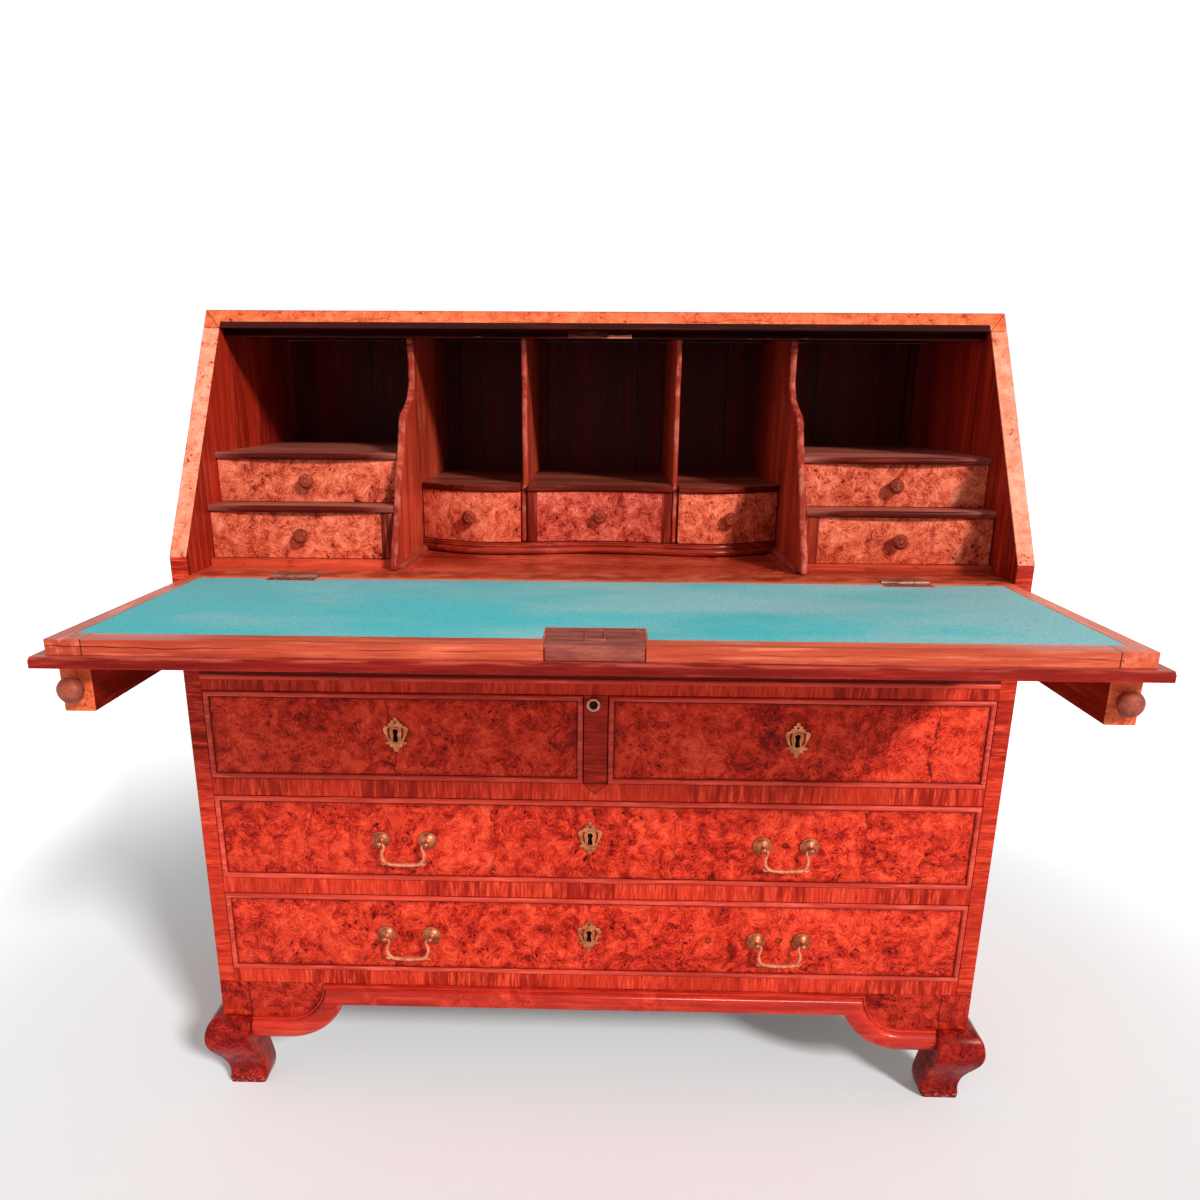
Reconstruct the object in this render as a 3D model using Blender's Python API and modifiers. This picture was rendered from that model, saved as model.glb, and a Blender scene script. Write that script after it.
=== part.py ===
# Slant-front walnut bureau, its fall open on two pulled-out lopers.
# Every sub-part is one closed solid, in metres, Z up, with the floor at z = 0.
# Shapes are drawn in bureau coordinates: y = 0 is the carcase front, +y runs to the back.
# One root empty then centres the open bureau over the origin.

import math

import bmesh
import bpy
from mathutils import Matrix, Vector

# Carcase sizes
CARCASE_WIDTH = 1.000
CARCASE_DEPTH = 0.505
TOP_HEIGHT = 1.006
TOP_SETBACK = 0.202
SIDE_THICKNESS = 0.020
TOP_THICKNESS = 0.022
BACK_THICKNESS = 0.011
FOOT_HEIGHT = 0.109
BASE_BAND = 0.051
BOTTOM_RAIL = 0.0203
BOTTOM_OPENING = 0.1122
LOWER_RAIL = 0.0215
MIDDLE_OPENING = 0.1145
MIDDLE_RAIL = 0.0225
SHORT_OPENING = 0.114
UPPER_RAIL = 0.020
FRIEZE_HEIGHT = 0.101
FRIEZE_THICKNESS = 0.018
BED_THICKNESS = 0.018
POST_WIDTH = 0.029
POST_DEPTH = 0.022
GUIDE_WIDTH = 0.012
GUIDE_REAR_SPACE = 0.0437

# Clearances
GAP = 0.0003
RUNNING_GAP = 0.0007
DRAWER_SIDE_GAP = 0.001
FALL_GAP = 0.0005
OVERCUT = 0.010
SUNK = 0.001
WELD = 0.00001
SHARP_ANGLE = math.radians(35.0)
FLOW_STEPS = 3

# Fall, lock and writing felt
FALL_THICKNESS = 0.024
FALL_LENGTH = 0.335
FALL_SIDE_GAP = 0.001
LIP_REBATE = 0.014
LIP_SIDE = 0.011
LIP_FRONT = 0.011
LIP_ROUND = 0.003
HINGE_EDGE_GAP = 0.0004
FELT_SIDE_BORDER = 0.016
FELT_FRONT_BORDER = 0.025
FELT_BACK_BORDER = 0.012
FELT_THICKNESS = 0.0011
FELT_RECESS = 0.0015
LOCK_WIDTH = 0.088
LOCK_DEPTH = 0.071
LOCK_PLATE = 0.0025
LOCK_CASE_WIDTH = 0.060
LOCK_CASE_MARGIN = 0.010
LOCK_MARGIN = 0.002
STOP_RAIL_HEIGHT = 0.010
STOP_RAIL_THICKNESS = 0.014
STOP_RAIL_GAP = 0.002

# Hinges
HINGE_INSET = 0.146
LEAF_WIDTH = 0.055
BED_LEAF_DEPTH = 0.030
FALL_LEAF_DEPTH = 0.024
LEAF_THICKNESS = 0.002
LEAF_ROOT = 0.0015
LEAF_MARGIN = 0.001
KNUCKLE_RADIUS = 0.0032
KNUCKLE_BORE = 0.0018
PIN_RADIUS = 0.0014
PIN_LENGTH = 0.052
MIDDLE_KNUCKLE = 0.019
KNUCKLE_GROOVE = 0.0037
ROD_SEGMENTS = 12

# Lopers
LOPER_WIDTH = 0.028
LOPER_HEIGHT = 0.046
LOPER_LENGTH = 0.460
LOPER_PULL = 0.318
LOPER_SIDE_GAP = 0.0015
LOPER_GUIDE = 0.012
LOPER_SLOT_GAP = 0.001
LOPER_KNOB_RADIUS = 0.012
LOPER_KNOB_LENGTH = 0.020
SHANK_RADIUS = 0.003
SHANK_LENGTH = 0.010
HOLE_GAP = 0.0004

# Base frame and feet
FASCIA_THICKNESS = 0.020
ARCH_INSET = 0.089
ARCH_INNER_RADIUS = 0.051
MOULDING_WIDTH = 0.031
MOULDING_PROJECTION = 0.012
MOULDING_DROP = 0.001
FASCIA_MARGIN = 0.003
ARC_STEPS = 8
HALF_ROUND_STEPS = 8
FOOT_BLOCK = 0.041
REAR_FOOT_DEPTH = 0.068
FOOT_TOP_FLARE = 0.005
FOOT_KNEE_FLARE = 0.0228
FOOT_KNEE_HEIGHT = 0.074
FOOT_SHIN_FLARE = 0.012
FOOT_SHIN_HEIGHT = 0.050
FOOT_ANKLE_FLARE = -0.001
FOOT_ANKLE_HEIGHT = 0.020
FOOT_TOE_FLARE = 0.0005
FOOT_STEPS = 4

# Writing interior
PARTITION_SPREAD = 0.242
PARTITION_THICKNESS = 0.009
# Knots of the scalloped partition front, as (distance behind the carcase front, height above
# the writing bed), drawn for one clear height and stretched to the clear height of the interior
PATTERN_HEIGHT = 0.280
PARTITION_FOOT = 0.045
PARTITION_LOWER_KNOTS = (
    (PARTITION_FOOT, 0.0085), (0.060, 0.036), (0.082, 0.070),
    (0.100, 0.106), (0.122, 0.136), (0.140, 0.172),
)
PARTITION_UPPER_KNOTS = ((0.150, 0.181), (0.176, 0.189), (0.205, 0.201))
PARTITION_NECK_DROP = 0.059
DIVIDER_SPREAD = 0.100
DIVIDER_THICKNESS = 0.007
DIVIDER_FRONT = 0.222
DIVIDER_SHAFT_SETBACK = 0.004
DIVIDER_OGEE_DEPTH = 0.010
DIVIDER_OGEE_START = 0.084
DIVIDER_OGEE_MIDDLE = 0.069
DIVIDER_OGEE_END = 0.054
HALVING_LENGTH = 0.1437
BANK_FRONT = 0.075
BANK_HEIGHT = 0.0085
SHELF_THICKNESS = 0.008
NOSE_STEPS = 6
LOWER_BAY_HEIGHT = 0.0565
LOWER_SHELF_FRONT = 0.083
UPPER_BAY_HEIGHT = 0.052
UPPER_SHELF_FRONT = 0.125
CENTRE_BAY_HEIGHT = 0.066
CENTRE_SHELF_LIP = 0.004
PLINTH_HEIGHT = 0.016
PLINTH_LIP = 0.008
SERPENTINE_CENTRE = 0.216
SERPENTINE_LOBE = 0.195
SERPENTINE_END = 0.243
LOBE_SPREAD = 0.140
SERPENTINE_STEP = 0.012
WELL_LEDGE = 0.0115
WELL_LENGTH = 0.158
SLIDE_SIDE_MARGIN = 0.0145
SLIDE_FRONT = 0.0555
SLIDE_LENGTH = 0.2045
SLIDE_REAR_SPACE = 0.0237
SLIDE_THICKNESS = 0.0068
SLIDE_REBATE = 0.0075
NOTCH_HALF_WIDTH = 0.020
NOTCH_CENTRE = 0.129
NOTCH_DEPTH = 0.004

# Small drawers
SMALL_FRONT = 0.010
SMALL_SIDE = 0.006
SMALL_BOTTOM = 0.005
SMALL_REAR_SPACE = 0.0537
SMALL_LOWERED = 0.006
SMALL_GAP = 0.001
SMALL_SETBACK = 0.004
KNOB_RADIUS = 0.0095
KNOB_LENGTH = 0.018

# Shares of a turned knob's radius and length
KNOB_TIP_SHARE = 0.45
KNOB_BELLY_SHARE = 0.68
KNOB_WAIST_SHARE = 0.50
KNOB_NECK_SHARE = 0.28
KNOB_COLLAR_SHARE = 0.65

# Main drawers
DRAWER_FRONT = 0.020
DRAWER_SIDE = 0.010
DRAWER_BOTTOM = 0.008
DRAWER_REAR_SPACE = 0.0337
DRAWER_LOWERED = 0.012
BEAD_WIDTH = 0.005
BEAD_STEP = 0.001
BEAD_PROJECTION = 0.003
TRAY_OVERLAP = 0.010
CAVITY_BITE = 0.0005

# Handles
HANDLE_INSET = 0.259
POST_SPACING = 0.059
ROSETTE_RADIUS = 0.0115
ROSETTE_RIM = 0.0025
ROSETTE_EDGE = 0.0020
ROSETTE_SHOULDER = 0.0036
ROSETTE_CROWN = 0.0062
BALL_REACH = 0.015
BALL_STEPS = 5
BALL_RADIUS = 0.0042
POST_SHANK_RADIUS = 0.0025
POST_SHANK_LENGTH = 0.012
BAIL_RADIUS = 0.0024
BAIL_PIN_BORE = 0.0019
BAIL_PIN_TIP = 0.0280
BAIL_PIN_LENGTH = 0.0028
BAIL_PIN_SHARE = 0.55
BAIL_SHOULDER = 0.0237
BAIL_ELBOW_DROP = 0.0012
BAIL_NECK_DROP = 0.0050
BAIL_SWELL = 0.0268
BAIL_SWELL_DROP = 0.0125
BAIL_HIP = 0.0256
BAIL_HIP_DROP = 0.0205
BAIL_CORNER = 0.0215
BAIL_CORNER_DROP = 0.0262
BAIL_DROP = 0.0283
BAIL_STEPS = 2
TURNING_STEPS = 12

# Heights and planes that follow from the sizes above
HALF_WIDTH = CARCASE_WIDTH / 2
INNER_HALF = HALF_WIDTH - SIDE_THICKNESS
BOARD_HALF = INNER_HALF - GAP
INNER_BACK = CARCASE_DEPTH - BACK_THICKNESS - GAP
CARCASE_BOTTOM = FOOT_HEIGHT + BASE_BAND
BOTTOM_SILL = CARCASE_BOTTOM + BOTTOM_RAIL
BOTTOM_HEAD = BOTTOM_SILL + BOTTOM_OPENING
MIDDLE_SILL = BOTTOM_HEAD + LOWER_RAIL
MIDDLE_HEAD = MIDDLE_SILL + MIDDLE_OPENING
SHORT_SILL = MIDDLE_HEAD + MIDDLE_RAIL
SHORT_HEAD = SHORT_SILL + SHORT_OPENING
TRAY_FLOOR = SHORT_HEAD + UPPER_RAIL
BED_UNDERSIDE = TRAY_FLOOR + FRIEZE_HEIGHT
HINGE_HEIGHT = BED_UNDERSIDE + BED_THICKNESS
TOP_UNDERSIDE = TOP_HEIGHT - TOP_THICKNESS
FALL_UNDERSIDE = HINGE_HEIGHT - FALL_THICKNESS
FALL_HALF = INNER_HALF - FALL_SIDE_GAP
LIP_LEVEL = HINGE_HEIGHT - LIP_REBATE
CENTRE_SHIFT = (CARCASE_DEPTH - FALL_LENGTH - LIP_FRONT) / 2
HINGE_SPREAD = HALF_WIDTH - HINGE_INSET
ARCH_CENTRE = HALF_WIDTH - ARCH_INSET
HANDLE_SPREAD = HALF_WIDTH - HANDLE_INSET
GUIDE_BACK = INNER_BACK - GUIDE_REAR_SPACE
DRAWER_BACK = INNER_BACK - DRAWER_REAR_SPACE
SMALL_BACK = INNER_BACK - SMALL_REAR_SPACE
HALVING_DEPTH = INNER_BACK - HALVING_LENGTH
PLINTH_TOP = HINGE_HEIGHT + PLINTH_HEIGHT
CENTRE_SHELF_HEIGHT = PLINTH_TOP + CENTRE_BAY_HEIGHT
LOWER_SHELF_HEIGHT = HINGE_HEIGHT + BANK_HEIGHT + LOWER_BAY_HEIGHT
UPPER_SHELF_HEIGHT = LOWER_SHELF_HEIGHT + SHELF_THICKNESS + UPPER_BAY_HEIGHT
SLIDE_HALF_WIDTH = PARTITION_SPREAD - SLIDE_SIDE_MARGIN
SLIDE_BACK = SLIDE_FRONT + SLIDE_LENGTH
SLIDE_RUN_BACK = INNER_BACK - SLIDE_REAR_SPACE
WELL_HALF_WIDTH = SLIDE_HALF_WIDTH - WELL_LEDGE
WELL_FRONT = SLIDE_FRONT + WELL_LEDGE
WELL_BACK = WELL_FRONT + WELL_LENGTH

# The side slope lies flush under the lip of the closed fall
RISE = TOP_HEIGHT - HINGE_HEIGHT
SLOPE_ANGLE = math.atan2(RISE, TOP_SETBACK)
SLOPE_ANGLE -= math.asin((LIP_REBATE - FALL_GAP) / math.hypot(RISE, TOP_SETBACK))
SHOULDER_HEIGHT = TOP_HEIGHT - TOP_SETBACK * math.tan(SLOPE_ANGLE)
SHOULDER_REACH = (SHOULDER_HEIGHT - HINGE_HEIGHT) * math.sin(SLOPE_ANGLE)

# Colour, roughness and metallic value of each kind of surface
FINISHES = {
    "burl": ((0.42, 0.045, 0.018), 0.36, 0.0),
    "edge": ((0.50, 0.095, 0.024), 0.38, 0.0),
    "straight": ((0.20, 0.030, 0.014), 0.48, 0.0),
    "inner": ((0.36, 0.060, 0.022), 0.42, 0.0),
    "baize": ((0.070, 0.420, 0.420), 0.95, 0.0),
    "brass": ((0.60, 0.250, 0.085), 0.34, 1.0),
    "iron": ((0.160, 0.045, 0.025), 0.55, 1.0),
}

# Axes of an outline drawn in each plane, with the extrusion along the third axis
PLANES = {
    "XY": Matrix(((1, 0, 0), (0, 1, 0), (0, 0, 1))),
    "XZ": Matrix(((1, 0, 0), (0, 0, -1), (0, 1, 0))),
    "YZ": Matrix(((0, 0, 1), (1, 0, 0), (0, 1, 0))),
}
LEVEL_AXES = {"XY": Vector((0, 0, 1)), "XZ": Vector((0, 1, 0)), "YZ": Vector((1, 0, 0))}
SIDES = (("left", -1), ("right", 1))


def clear_scene():
    for item in list(bpy.data.objects):
        bpy.data.objects.remove(item, do_unlink=True)


def new_collection(name):
    collection = bpy.data.collections.new(name)
    bpy.context.scene.collection.children.link(collection)
    return collection


def make_material(name, finish):
    colour, roughness, metallic = FINISHES[finish]
    material = bpy.data.materials.new(name + "_finish")
    material.use_nodes = True
    shader = material.node_tree.nodes["Principled BSDF"]
    shader.inputs["Base Color"].default_value = (*colour, 1.0)
    shader.inputs["Roughness"].default_value = roughness
    shader.inputs["Metallic"].default_value = metallic
    return material


def make_anchor(name, place, parent):
    """Empty on a joint axis, or the root of the whole bureau."""
    anchor = bpy.data.objects.new(name, None)
    anchor.location = place
    anchor.parent = parent
    bureau.objects.link(anchor)
    return anchor


def place_shape(name, data, collection, anchor):
    """Object whose data stays in bureau coordinates under the given anchor."""
    shape = bpy.data.objects.new(name, data)
    shape.parent = anchor
    if anchor.parent:
        shape.location = -anchor.location
    collection.objects.link(shape)
    return shape


def add_part(name, data, finish, anchor):
    part = place_shape(name, data, bureau, anchor)
    data.materials.append(make_material(name, finish))
    return part


def combine(part, mesh, operation):
    """Boolean of a part with a hidden shape in the same coordinates."""
    tool = place_shape(part.name + "_shape", mesh, cutters, part.parent)
    tool.hide_render = True
    tool.display_type = "WIRE"
    modifier = part.modifiers.new(operation.lower(), "BOOLEAN")
    modifier.operation = operation
    modifier.solver = "EXACT"
    modifier.object = tool
    return tool


def cut(part, mesh):
    return combine(part, mesh, "DIFFERENCE")


def join(part, mesh):
    return combine(part, mesh, "UNION")


def box(low, high):
    low = Vector(low)
    high = Vector(high)
    form = bmesh.new()
    bmesh.ops.create_cube(form, size=1.0)
    bmesh.ops.scale(form, vec=high - low, verts=form.verts)
    bmesh.ops.translate(form, vec=(low + high) / 2, verts=form.verts)
    mesh = bpy.data.meshes.new("box")
    form.to_mesh(mesh)
    form.free()
    return mesh


def side_box(sign, inner, outer, front, back, low, high):
    """Box on the left or right half, given by its distances from the middle plane."""
    near, far = sorted((sign * inner, sign * outer))
    return box((near, front, low), (far, back, high))


def rod(start, end, radius):
    start = Vector(start)
    end = Vector(end)
    form = bmesh.new()
    bmesh.ops.create_cone(form, cap_ends=True, segments=ROD_SEGMENTS, radius1=radius,
                          radius2=radius, depth=(end - start).length)
    turn = Vector((0, 0, 1)).rotation_difference(end - start).to_matrix()
    bmesh.ops.transform(form, matrix=turn.to_4x4(), verts=form.verts)
    bmesh.ops.translate(form, vec=(start + end) / 2, verts=form.verts)
    mesh = bpy.data.meshes.new("rod")
    form.to_mesh(mesh)
    form.free()
    mesh.shade_smooth()
    mesh.set_sharp_from_angle(angle=SHARP_ANGLE)
    return mesh


def slab(points, plane, near, far):
    """Flat outline in the named plane, extruded between two levels of the third axis."""
    low, high = sorted((near, far))
    curve = bpy.data.curves.new("outline", "CURVE")
    curve.dimensions = "2D"
    curve.fill_mode = "BOTH"
    curve.extrude = (high - low) / 2
    spline = curve.splines.new("POLY")
    spline.points.add(len(points) - 1)
    for point, (across, up) in zip(spline.points, points):
        point.co = (across, up, 0.0, 1.0)
    spline.use_cyclic_u = True
    holder = bpy.data.objects.new("outline", curve)
    bpy.context.scene.collection.objects.link(holder)
    bpy.context.view_layer.update()
    graph = bpy.context.evaluated_depsgraph_get()
    mesh = bpy.data.meshes.new_from_object(holder.evaluated_get(graph))
    bpy.data.objects.remove(holder, do_unlink=True)
    form = bmesh.new()
    form.from_mesh(mesh)
    bmesh.ops.remove_doubles(form, verts=form.verts, dist=WELD)
    bmesh.ops.transform(form, matrix=PLANES[plane].to_4x4(), verts=form.verts)
    bmesh.ops.translate(form, vec=LEVEL_AXES[plane] * (low + high) / 2, verts=form.verts)
    bmesh.ops.recalc_face_normals(form, faces=form.faces)
    form.to_mesh(mesh)
    form.free()
    mesh.shade_smooth()
    mesh.set_sharp_from_angle(angle=SHARP_ANGLE)
    return mesh


def flowing(points, steps):
    """Smooth run of points through the given ones."""
    run = []
    last = len(points) - 1
    for index in range(last):
        before = Vector(points[max(index - 1, 0)])
        start = Vector(points[index])
        end = Vector(points[index + 1])
        after = Vector(points[min(index + 2, last)])
        for step in range(steps):
            t = step / steps
            place = 2 * start + (end - before) * t
            place += (2 * before - 5 * start + 4 * end - after) * t * t
            place += (3 * start - before - 3 * end + after) * t * t * t
            run.append(tuple(place / 2))
    run.append(tuple(points[last]))
    return run


def profile(points):
    """Open line of (radius, reach) points for a turned piece, from its tip to its root."""
    mesh = bpy.data.meshes.new("profile")
    places = [(radius, 0.0, reach) for radius, reach in points]
    links = [(index, index + 1) for index in range(len(points) - 1)]
    mesh.from_pydata(places, links, [])
    return mesh


def turn(item, place):
    """Spin a profile object about a line that leaves the given place towards the front."""
    item.location += Vector(place)
    item.rotation_euler = (math.radians(90.0), 0.0, 0.0)
    screw = item.modifiers.new("turned", "SCREW")
    screw.axis = "Z"
    screw.angle = 2 * math.pi
    screw.steps = TURNING_STEPS
    screw.render_steps = TURNING_STEPS
    screw.use_merge_vertices = True
    screw.merge_threshold = WELD


def knob_line(radius, length, root_reach):
    """Profile of a domed knob with a waist and a small collar, from its tip to its collar."""
    line = [(0.0, length)]
    line += flowing(((radius * KNOB_TIP_SHARE, length), (radius, length * KNOB_BELLY_SHARE),
                     (radius * KNOB_WAIST_SHARE, length * KNOB_NECK_SHARE),
                     (radius * KNOB_COLLAR_SHARE, root_reach)), FLOW_STEPS)
    return line


def slope_front(height):
    """Distance of the sloping front line behind the carcase front."""
    return TOP_SETBACK - (TOP_HEIGHT - height) / math.tan(SLOPE_ANGLE)


def closed_fall_face(height):
    """Distance of the closed fall's writing face behind the carcase front."""
    return (height - HINGE_HEIGHT) / math.tan(SLOPE_ANGLE)


def build_sides():
    top = TOP_UNDERSIDE - GAP
    outline = (
        (0.0, CARCASE_BOTTOM),
        (0.0, SHOULDER_HEIGHT),
        (slope_front(top), top),
        (CARCASE_DEPTH, top),
        (CARCASE_DEPTH, CARCASE_BOTTOM),
    )
    for side, sign in SIDES:
        mesh = slab(outline, "YZ", sign * INNER_HALF, sign * HALF_WIDTH)
        add_part("side_" + side, mesh, "straight", root)


def build_top():
    outline = (
        (slope_front(TOP_UNDERSIDE), TOP_UNDERSIDE),
        (TOP_SETBACK, TOP_HEIGHT),
        (CARCASE_DEPTH, TOP_HEIGHT),
        (CARCASE_DEPTH, TOP_UNDERSIDE),
    )
    top = add_part("top_board", slab(outline, "YZ", -HALF_WIDTH, HALF_WIDTH), "edge", root)
    low = TOP_UNDERSIDE - STOP_RAIL_HEIGHT
    high = TOP_UNDERSIDE + SUNK
    rail = (
        (closed_fall_face(low) + STOP_RAIL_GAP, low),
        (closed_fall_face(high) + STOP_RAIL_GAP, high),
        (closed_fall_face(high) + STOP_RAIL_THICKNESS, high),
        (closed_fall_face(high) + STOP_RAIL_THICKNESS, low),
    )
    join(top, slab(rail, "YZ", -FALL_HALF, FALL_HALF))


def build_back():
    mesh = box((-BOARD_HALF, CARCASE_DEPTH - BACK_THICKNESS, CARCASE_BOTTOM),
               (BOARD_HALF, CARCASE_DEPTH, TOP_UNDERSIDE - GAP))
    add_part("back_panel", mesh, "straight", root)


def build_boards():
    levels = (
        ("bottom_board", CARCASE_BOTTOM, BOTTOM_SILL),
        ("dust_board_lower", BOTTOM_HEAD, MIDDLE_SILL),
        ("dust_board_middle", MIDDLE_HEAD, SHORT_SILL),
    )
    for name, low, high in levels:
        mesh = box((-BOARD_HALF, 0.0, low), (BOARD_HALF, INNER_BACK, high))
        add_part(name, mesh, "inner", root)


def build_drawer_divider():
    post = POST_WIDTH / 2
    guide = GUIDE_WIDTH / 2
    outline = (
        (-post, 0.0), (post, 0.0), (post, POST_DEPTH), (guide, POST_DEPTH),
        (guide, GUIDE_BACK), (-guide, GUIDE_BACK), (-guide, POST_DEPTH), (-post, POST_DEPTH),
    )
    mesh = slab(outline, "XY", SHORT_SILL + GAP, SHORT_HEAD - GAP)
    add_part("drawer_divider", mesh, "inner", root)


def loper_inner_face():
    return INNER_HALF - LOPER_SIDE_GAP - LOPER_WIDTH


def loper_underside():
    return FALL_UNDERSIDE - GAP - LOPER_HEIGHT


def build_well_tray():
    bearer = loper_inner_face() - LOPER_SLOT_GAP
    wall = bearer - LOPER_GUIDE
    bearer_top = loper_underside() - GAP
    wall_top = BED_UNDERSIDE - GAP
    right = [
        (BOARD_HALF, SHORT_HEAD), (BOARD_HALF, bearer_top), (bearer, bearer_top),
        (bearer, wall_top), (wall, wall_top), (wall, TRAY_FLOOR),
    ]
    left = [(-across, up) for across, up in reversed(right)]
    tray = add_part("well_tray", slab(right + left, "XZ", 0.0, INNER_BACK), "burl", root)
    frieze_half = wall + SUNK
    join(tray, box((-frieze_half, GAP, TRAY_FLOOR - SUNK),
                   (frieze_half, FRIEZE_THICKNESS, wall_top - GAP)))


def build_writing_bed():
    bed = add_part("writing_bed", box((-BOARD_HALF, 0.0, BED_UNDERSIDE),
                                      (BOARD_HALF, INNER_BACK, HINGE_HEIGHT)), "inner", root)
    bank_inner = PARTITION_SPREAD + PARTITION_THICKNESS + GAP
    for _, sign in SIDES:
        join(bed, side_box(sign, bank_inner, BOARD_HALF - GAP, BANK_FRONT, INNER_BACK - GAP,
                           BED_UNDERSIDE + SUNK, HINGE_HEIGHT + BANK_HEIGHT))
    run_half = SLIDE_HALF_WIDTH + FALL_GAP
    cut(bed, box((-run_half, SLIDE_FRONT - FALL_GAP, HINGE_HEIGHT - SLIDE_REBATE),
                 (run_half, SLIDE_RUN_BACK, HINGE_HEIGHT + OVERCUT)))
    cut(bed, box((-WELL_HALF_WIDTH, WELL_FRONT, BED_UNDERSIDE - OVERCUT),
                 (WELL_HALF_WIDTH, WELL_BACK, HINGE_HEIGHT)))
    for _, sign in SIDES:
        cut_hinge_seat(bed, sign, -SUNK, BED_LEAF_DEPTH + GAP)


def cut_hinge_seat(board, sign, front, back):
    """Leaf recess and knuckle groove of one hinge."""
    middle = sign * HINGE_SPREAD
    reach = LEAF_WIDTH / 2 + GAP
    cut(board, box((middle - reach, front, HINGE_HEIGHT - LEAF_THICKNESS - GAP),
                   (middle + reach, back, HINGE_HEIGHT + OVERCUT)))
    groove = reach + GAP
    cut(board, rod((middle - groove, 0.0, HINGE_HEIGHT), (middle + groove, 0.0, HINGE_HEIGHT),
                   KNUCKLE_GROOVE))


def build_base_frame():
    frame_top = CARCASE_BOTTOM - GAP
    centre_height = CARCASE_BOTTOM - MOULDING_DROP
    outer_radius = ARCH_INNER_RADIUS + MOULDING_WIDTH
    fascia_radius = outer_radius - FASCIA_MARGIN
    run_end = HALF_WIDTH - FOOT_BLOCK - GAP
    mitre = math.asin(MOULDING_WIDTH / outer_radius)
    fascia_mitre = math.asin((MOULDING_WIDTH - FASCIA_MARGIN) / fascia_radius)
    right = [
        (HALF_WIDTH, frame_top),
        (HALF_WIDTH, FOOT_HEIGHT),
        (run_end, FOOT_HEIGHT),
        (run_end, centre_height - fascia_radius),
    ]
    for step in range(ARC_STEPS + 1):
        angle = math.pi / 2 + (fascia_mitre - math.pi / 2) * step / ARC_STEPS
        right.append((ARCH_CENTRE - fascia_radius * math.cos(angle),
                      centre_height - fascia_radius * math.sin(angle)))
    left = [(-across, up) for across, up in reversed(right)]
    frame = add_part("base_frame", slab(right + left, "XZ", 0.0, FASCIA_THICKNESS), "burl", root)
    for _, sign in SIDES:
        join(frame, side_box(sign, INNER_HALF, HALF_WIDTH - GAP, SUNK, CARCASE_DEPTH,
                             FOOT_HEIGHT + GAP, frame_top - GAP))
    join(frame, box((-INNER_HALF - SUNK, CARCASE_DEPTH - FASCIA_THICKNESS, FOOT_HEIGHT + SUNK),
                    (INNER_HALF + SUNK, CARCASE_DEPTH - GAP, frame_top - SUNK)))
    stations = [((run_end, centre_height - ARCH_INNER_RADIUS),
                 (run_end, centre_height - outer_radius))]
    for step in range(ARC_STEPS + 1):
        inner = math.pi / 2 * (1 - step / ARC_STEPS)
        outer = math.pi / 2 + (mitre - math.pi / 2) * step / ARC_STEPS
        stations.append(((ARCH_CENTRE - ARCH_INNER_RADIUS * math.cos(inner),
                          centre_height - ARCH_INNER_RADIUS * math.sin(inner)),
                         (ARCH_CENTRE - outer_radius * math.cos(outer),
                          centre_height - outer_radius * math.sin(outer))))
    mirrored = [((-first[0], first[1]), (-second[0], second[1]))
                for first, second in reversed(stations)]
    join(frame, half_round(stations + mirrored))


def half_round(stations):
    """Half-round moulding swept through stations of inner and outer edge points."""
    form = bmesh.new()
    rings = []
    for inner, outer in stations:
        ring = [form.verts.new((inner[0], SUNK, inner[1]))]
        for step in range(HALF_ROUND_STEPS + 1):
            angle = math.pi * step / HALF_ROUND_STEPS
            part_way = (1 - math.cos(angle)) / 2
            ring.append(form.verts.new((inner[0] + (outer[0] - inner[0]) * part_way,
                                        -MOULDING_PROJECTION * math.sin(angle),
                                        inner[1] + (outer[1] - inner[1]) * part_way)))
        ring.append(form.verts.new((outer[0], SUNK, outer[1])))
        rings.append(ring)
    count = len(rings[0])
    for first, second in zip(rings, rings[1:]):
        for index in range(count):
            following = (index + 1) % count
            form.faces.new((first[index], first[following], second[following], second[index]))
    form.faces.new(rings[0])
    form.faces.new(rings[-1])
    bmesh.ops.recalc_face_normals(form, faces=form.faces)
    mesh = bpy.data.meshes.new("half_round")
    form.to_mesh(mesh)
    form.free()
    mesh.shade_smooth()
    mesh.set_sharp_from_angle(angle=SHARP_ANGLE)
    return mesh


def foot_flare(extra):
    """Ogee line of a foot as (flare, height) from top to floor, run on past both ends by extra."""
    top = FOOT_HEIGHT - GAP
    knots = (
        (FOOT_TOP_FLARE, top),
        (FOOT_KNEE_FLARE, FOOT_KNEE_HEIGHT),
        (FOOT_SHIN_FLARE, FOOT_SHIN_HEIGHT),
        (FOOT_ANKLE_FLARE, FOOT_ANKLE_HEIGHT),
        (FOOT_TOE_FLARE, 0.0),
    )
    line = flowing(knots, FOOT_STEPS)
    if extra:
        line = [(FOOT_TOP_FLARE, top + extra)] + line + [(FOOT_TOE_FLARE, -extra)]
    return line


def build_feet():
    top = FOOT_HEIGHT - GAP
    inner = HALF_WIDTH - FOOT_BLOCK
    front = [(-flare, height) for flare, height in foot_flare(OVERCUT)]
    front += [(FOOT_BLOCK + OVERCUT, -OVERCUT), (FOOT_BLOCK + OVERCUT, top + OVERCUT)]
    for side, sign in SIDES:
        flank = [(sign * (HALF_WIDTH + flare), height) for flare, height in foot_flare(0.0)]
        flank += [(sign * inner, 0.0), (sign * inner, top)]
        foot = add_part("foot_front_" + side, slab(flank, "XZ", -FOOT_BLOCK, FOOT_BLOCK),
                        "burl", root)
        combine(foot, slab(front, "YZ", sign * (inner - OVERCUT),
                           sign * (HALF_WIDTH + FOOT_BLOCK)), "INTERSECT")
        add_part("foot_rear_" + side,
                 slab(flank, "XZ", CARCASE_DEPTH - REAR_FOOT_DEPTH, CARCASE_DEPTH), "burl", root)


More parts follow.
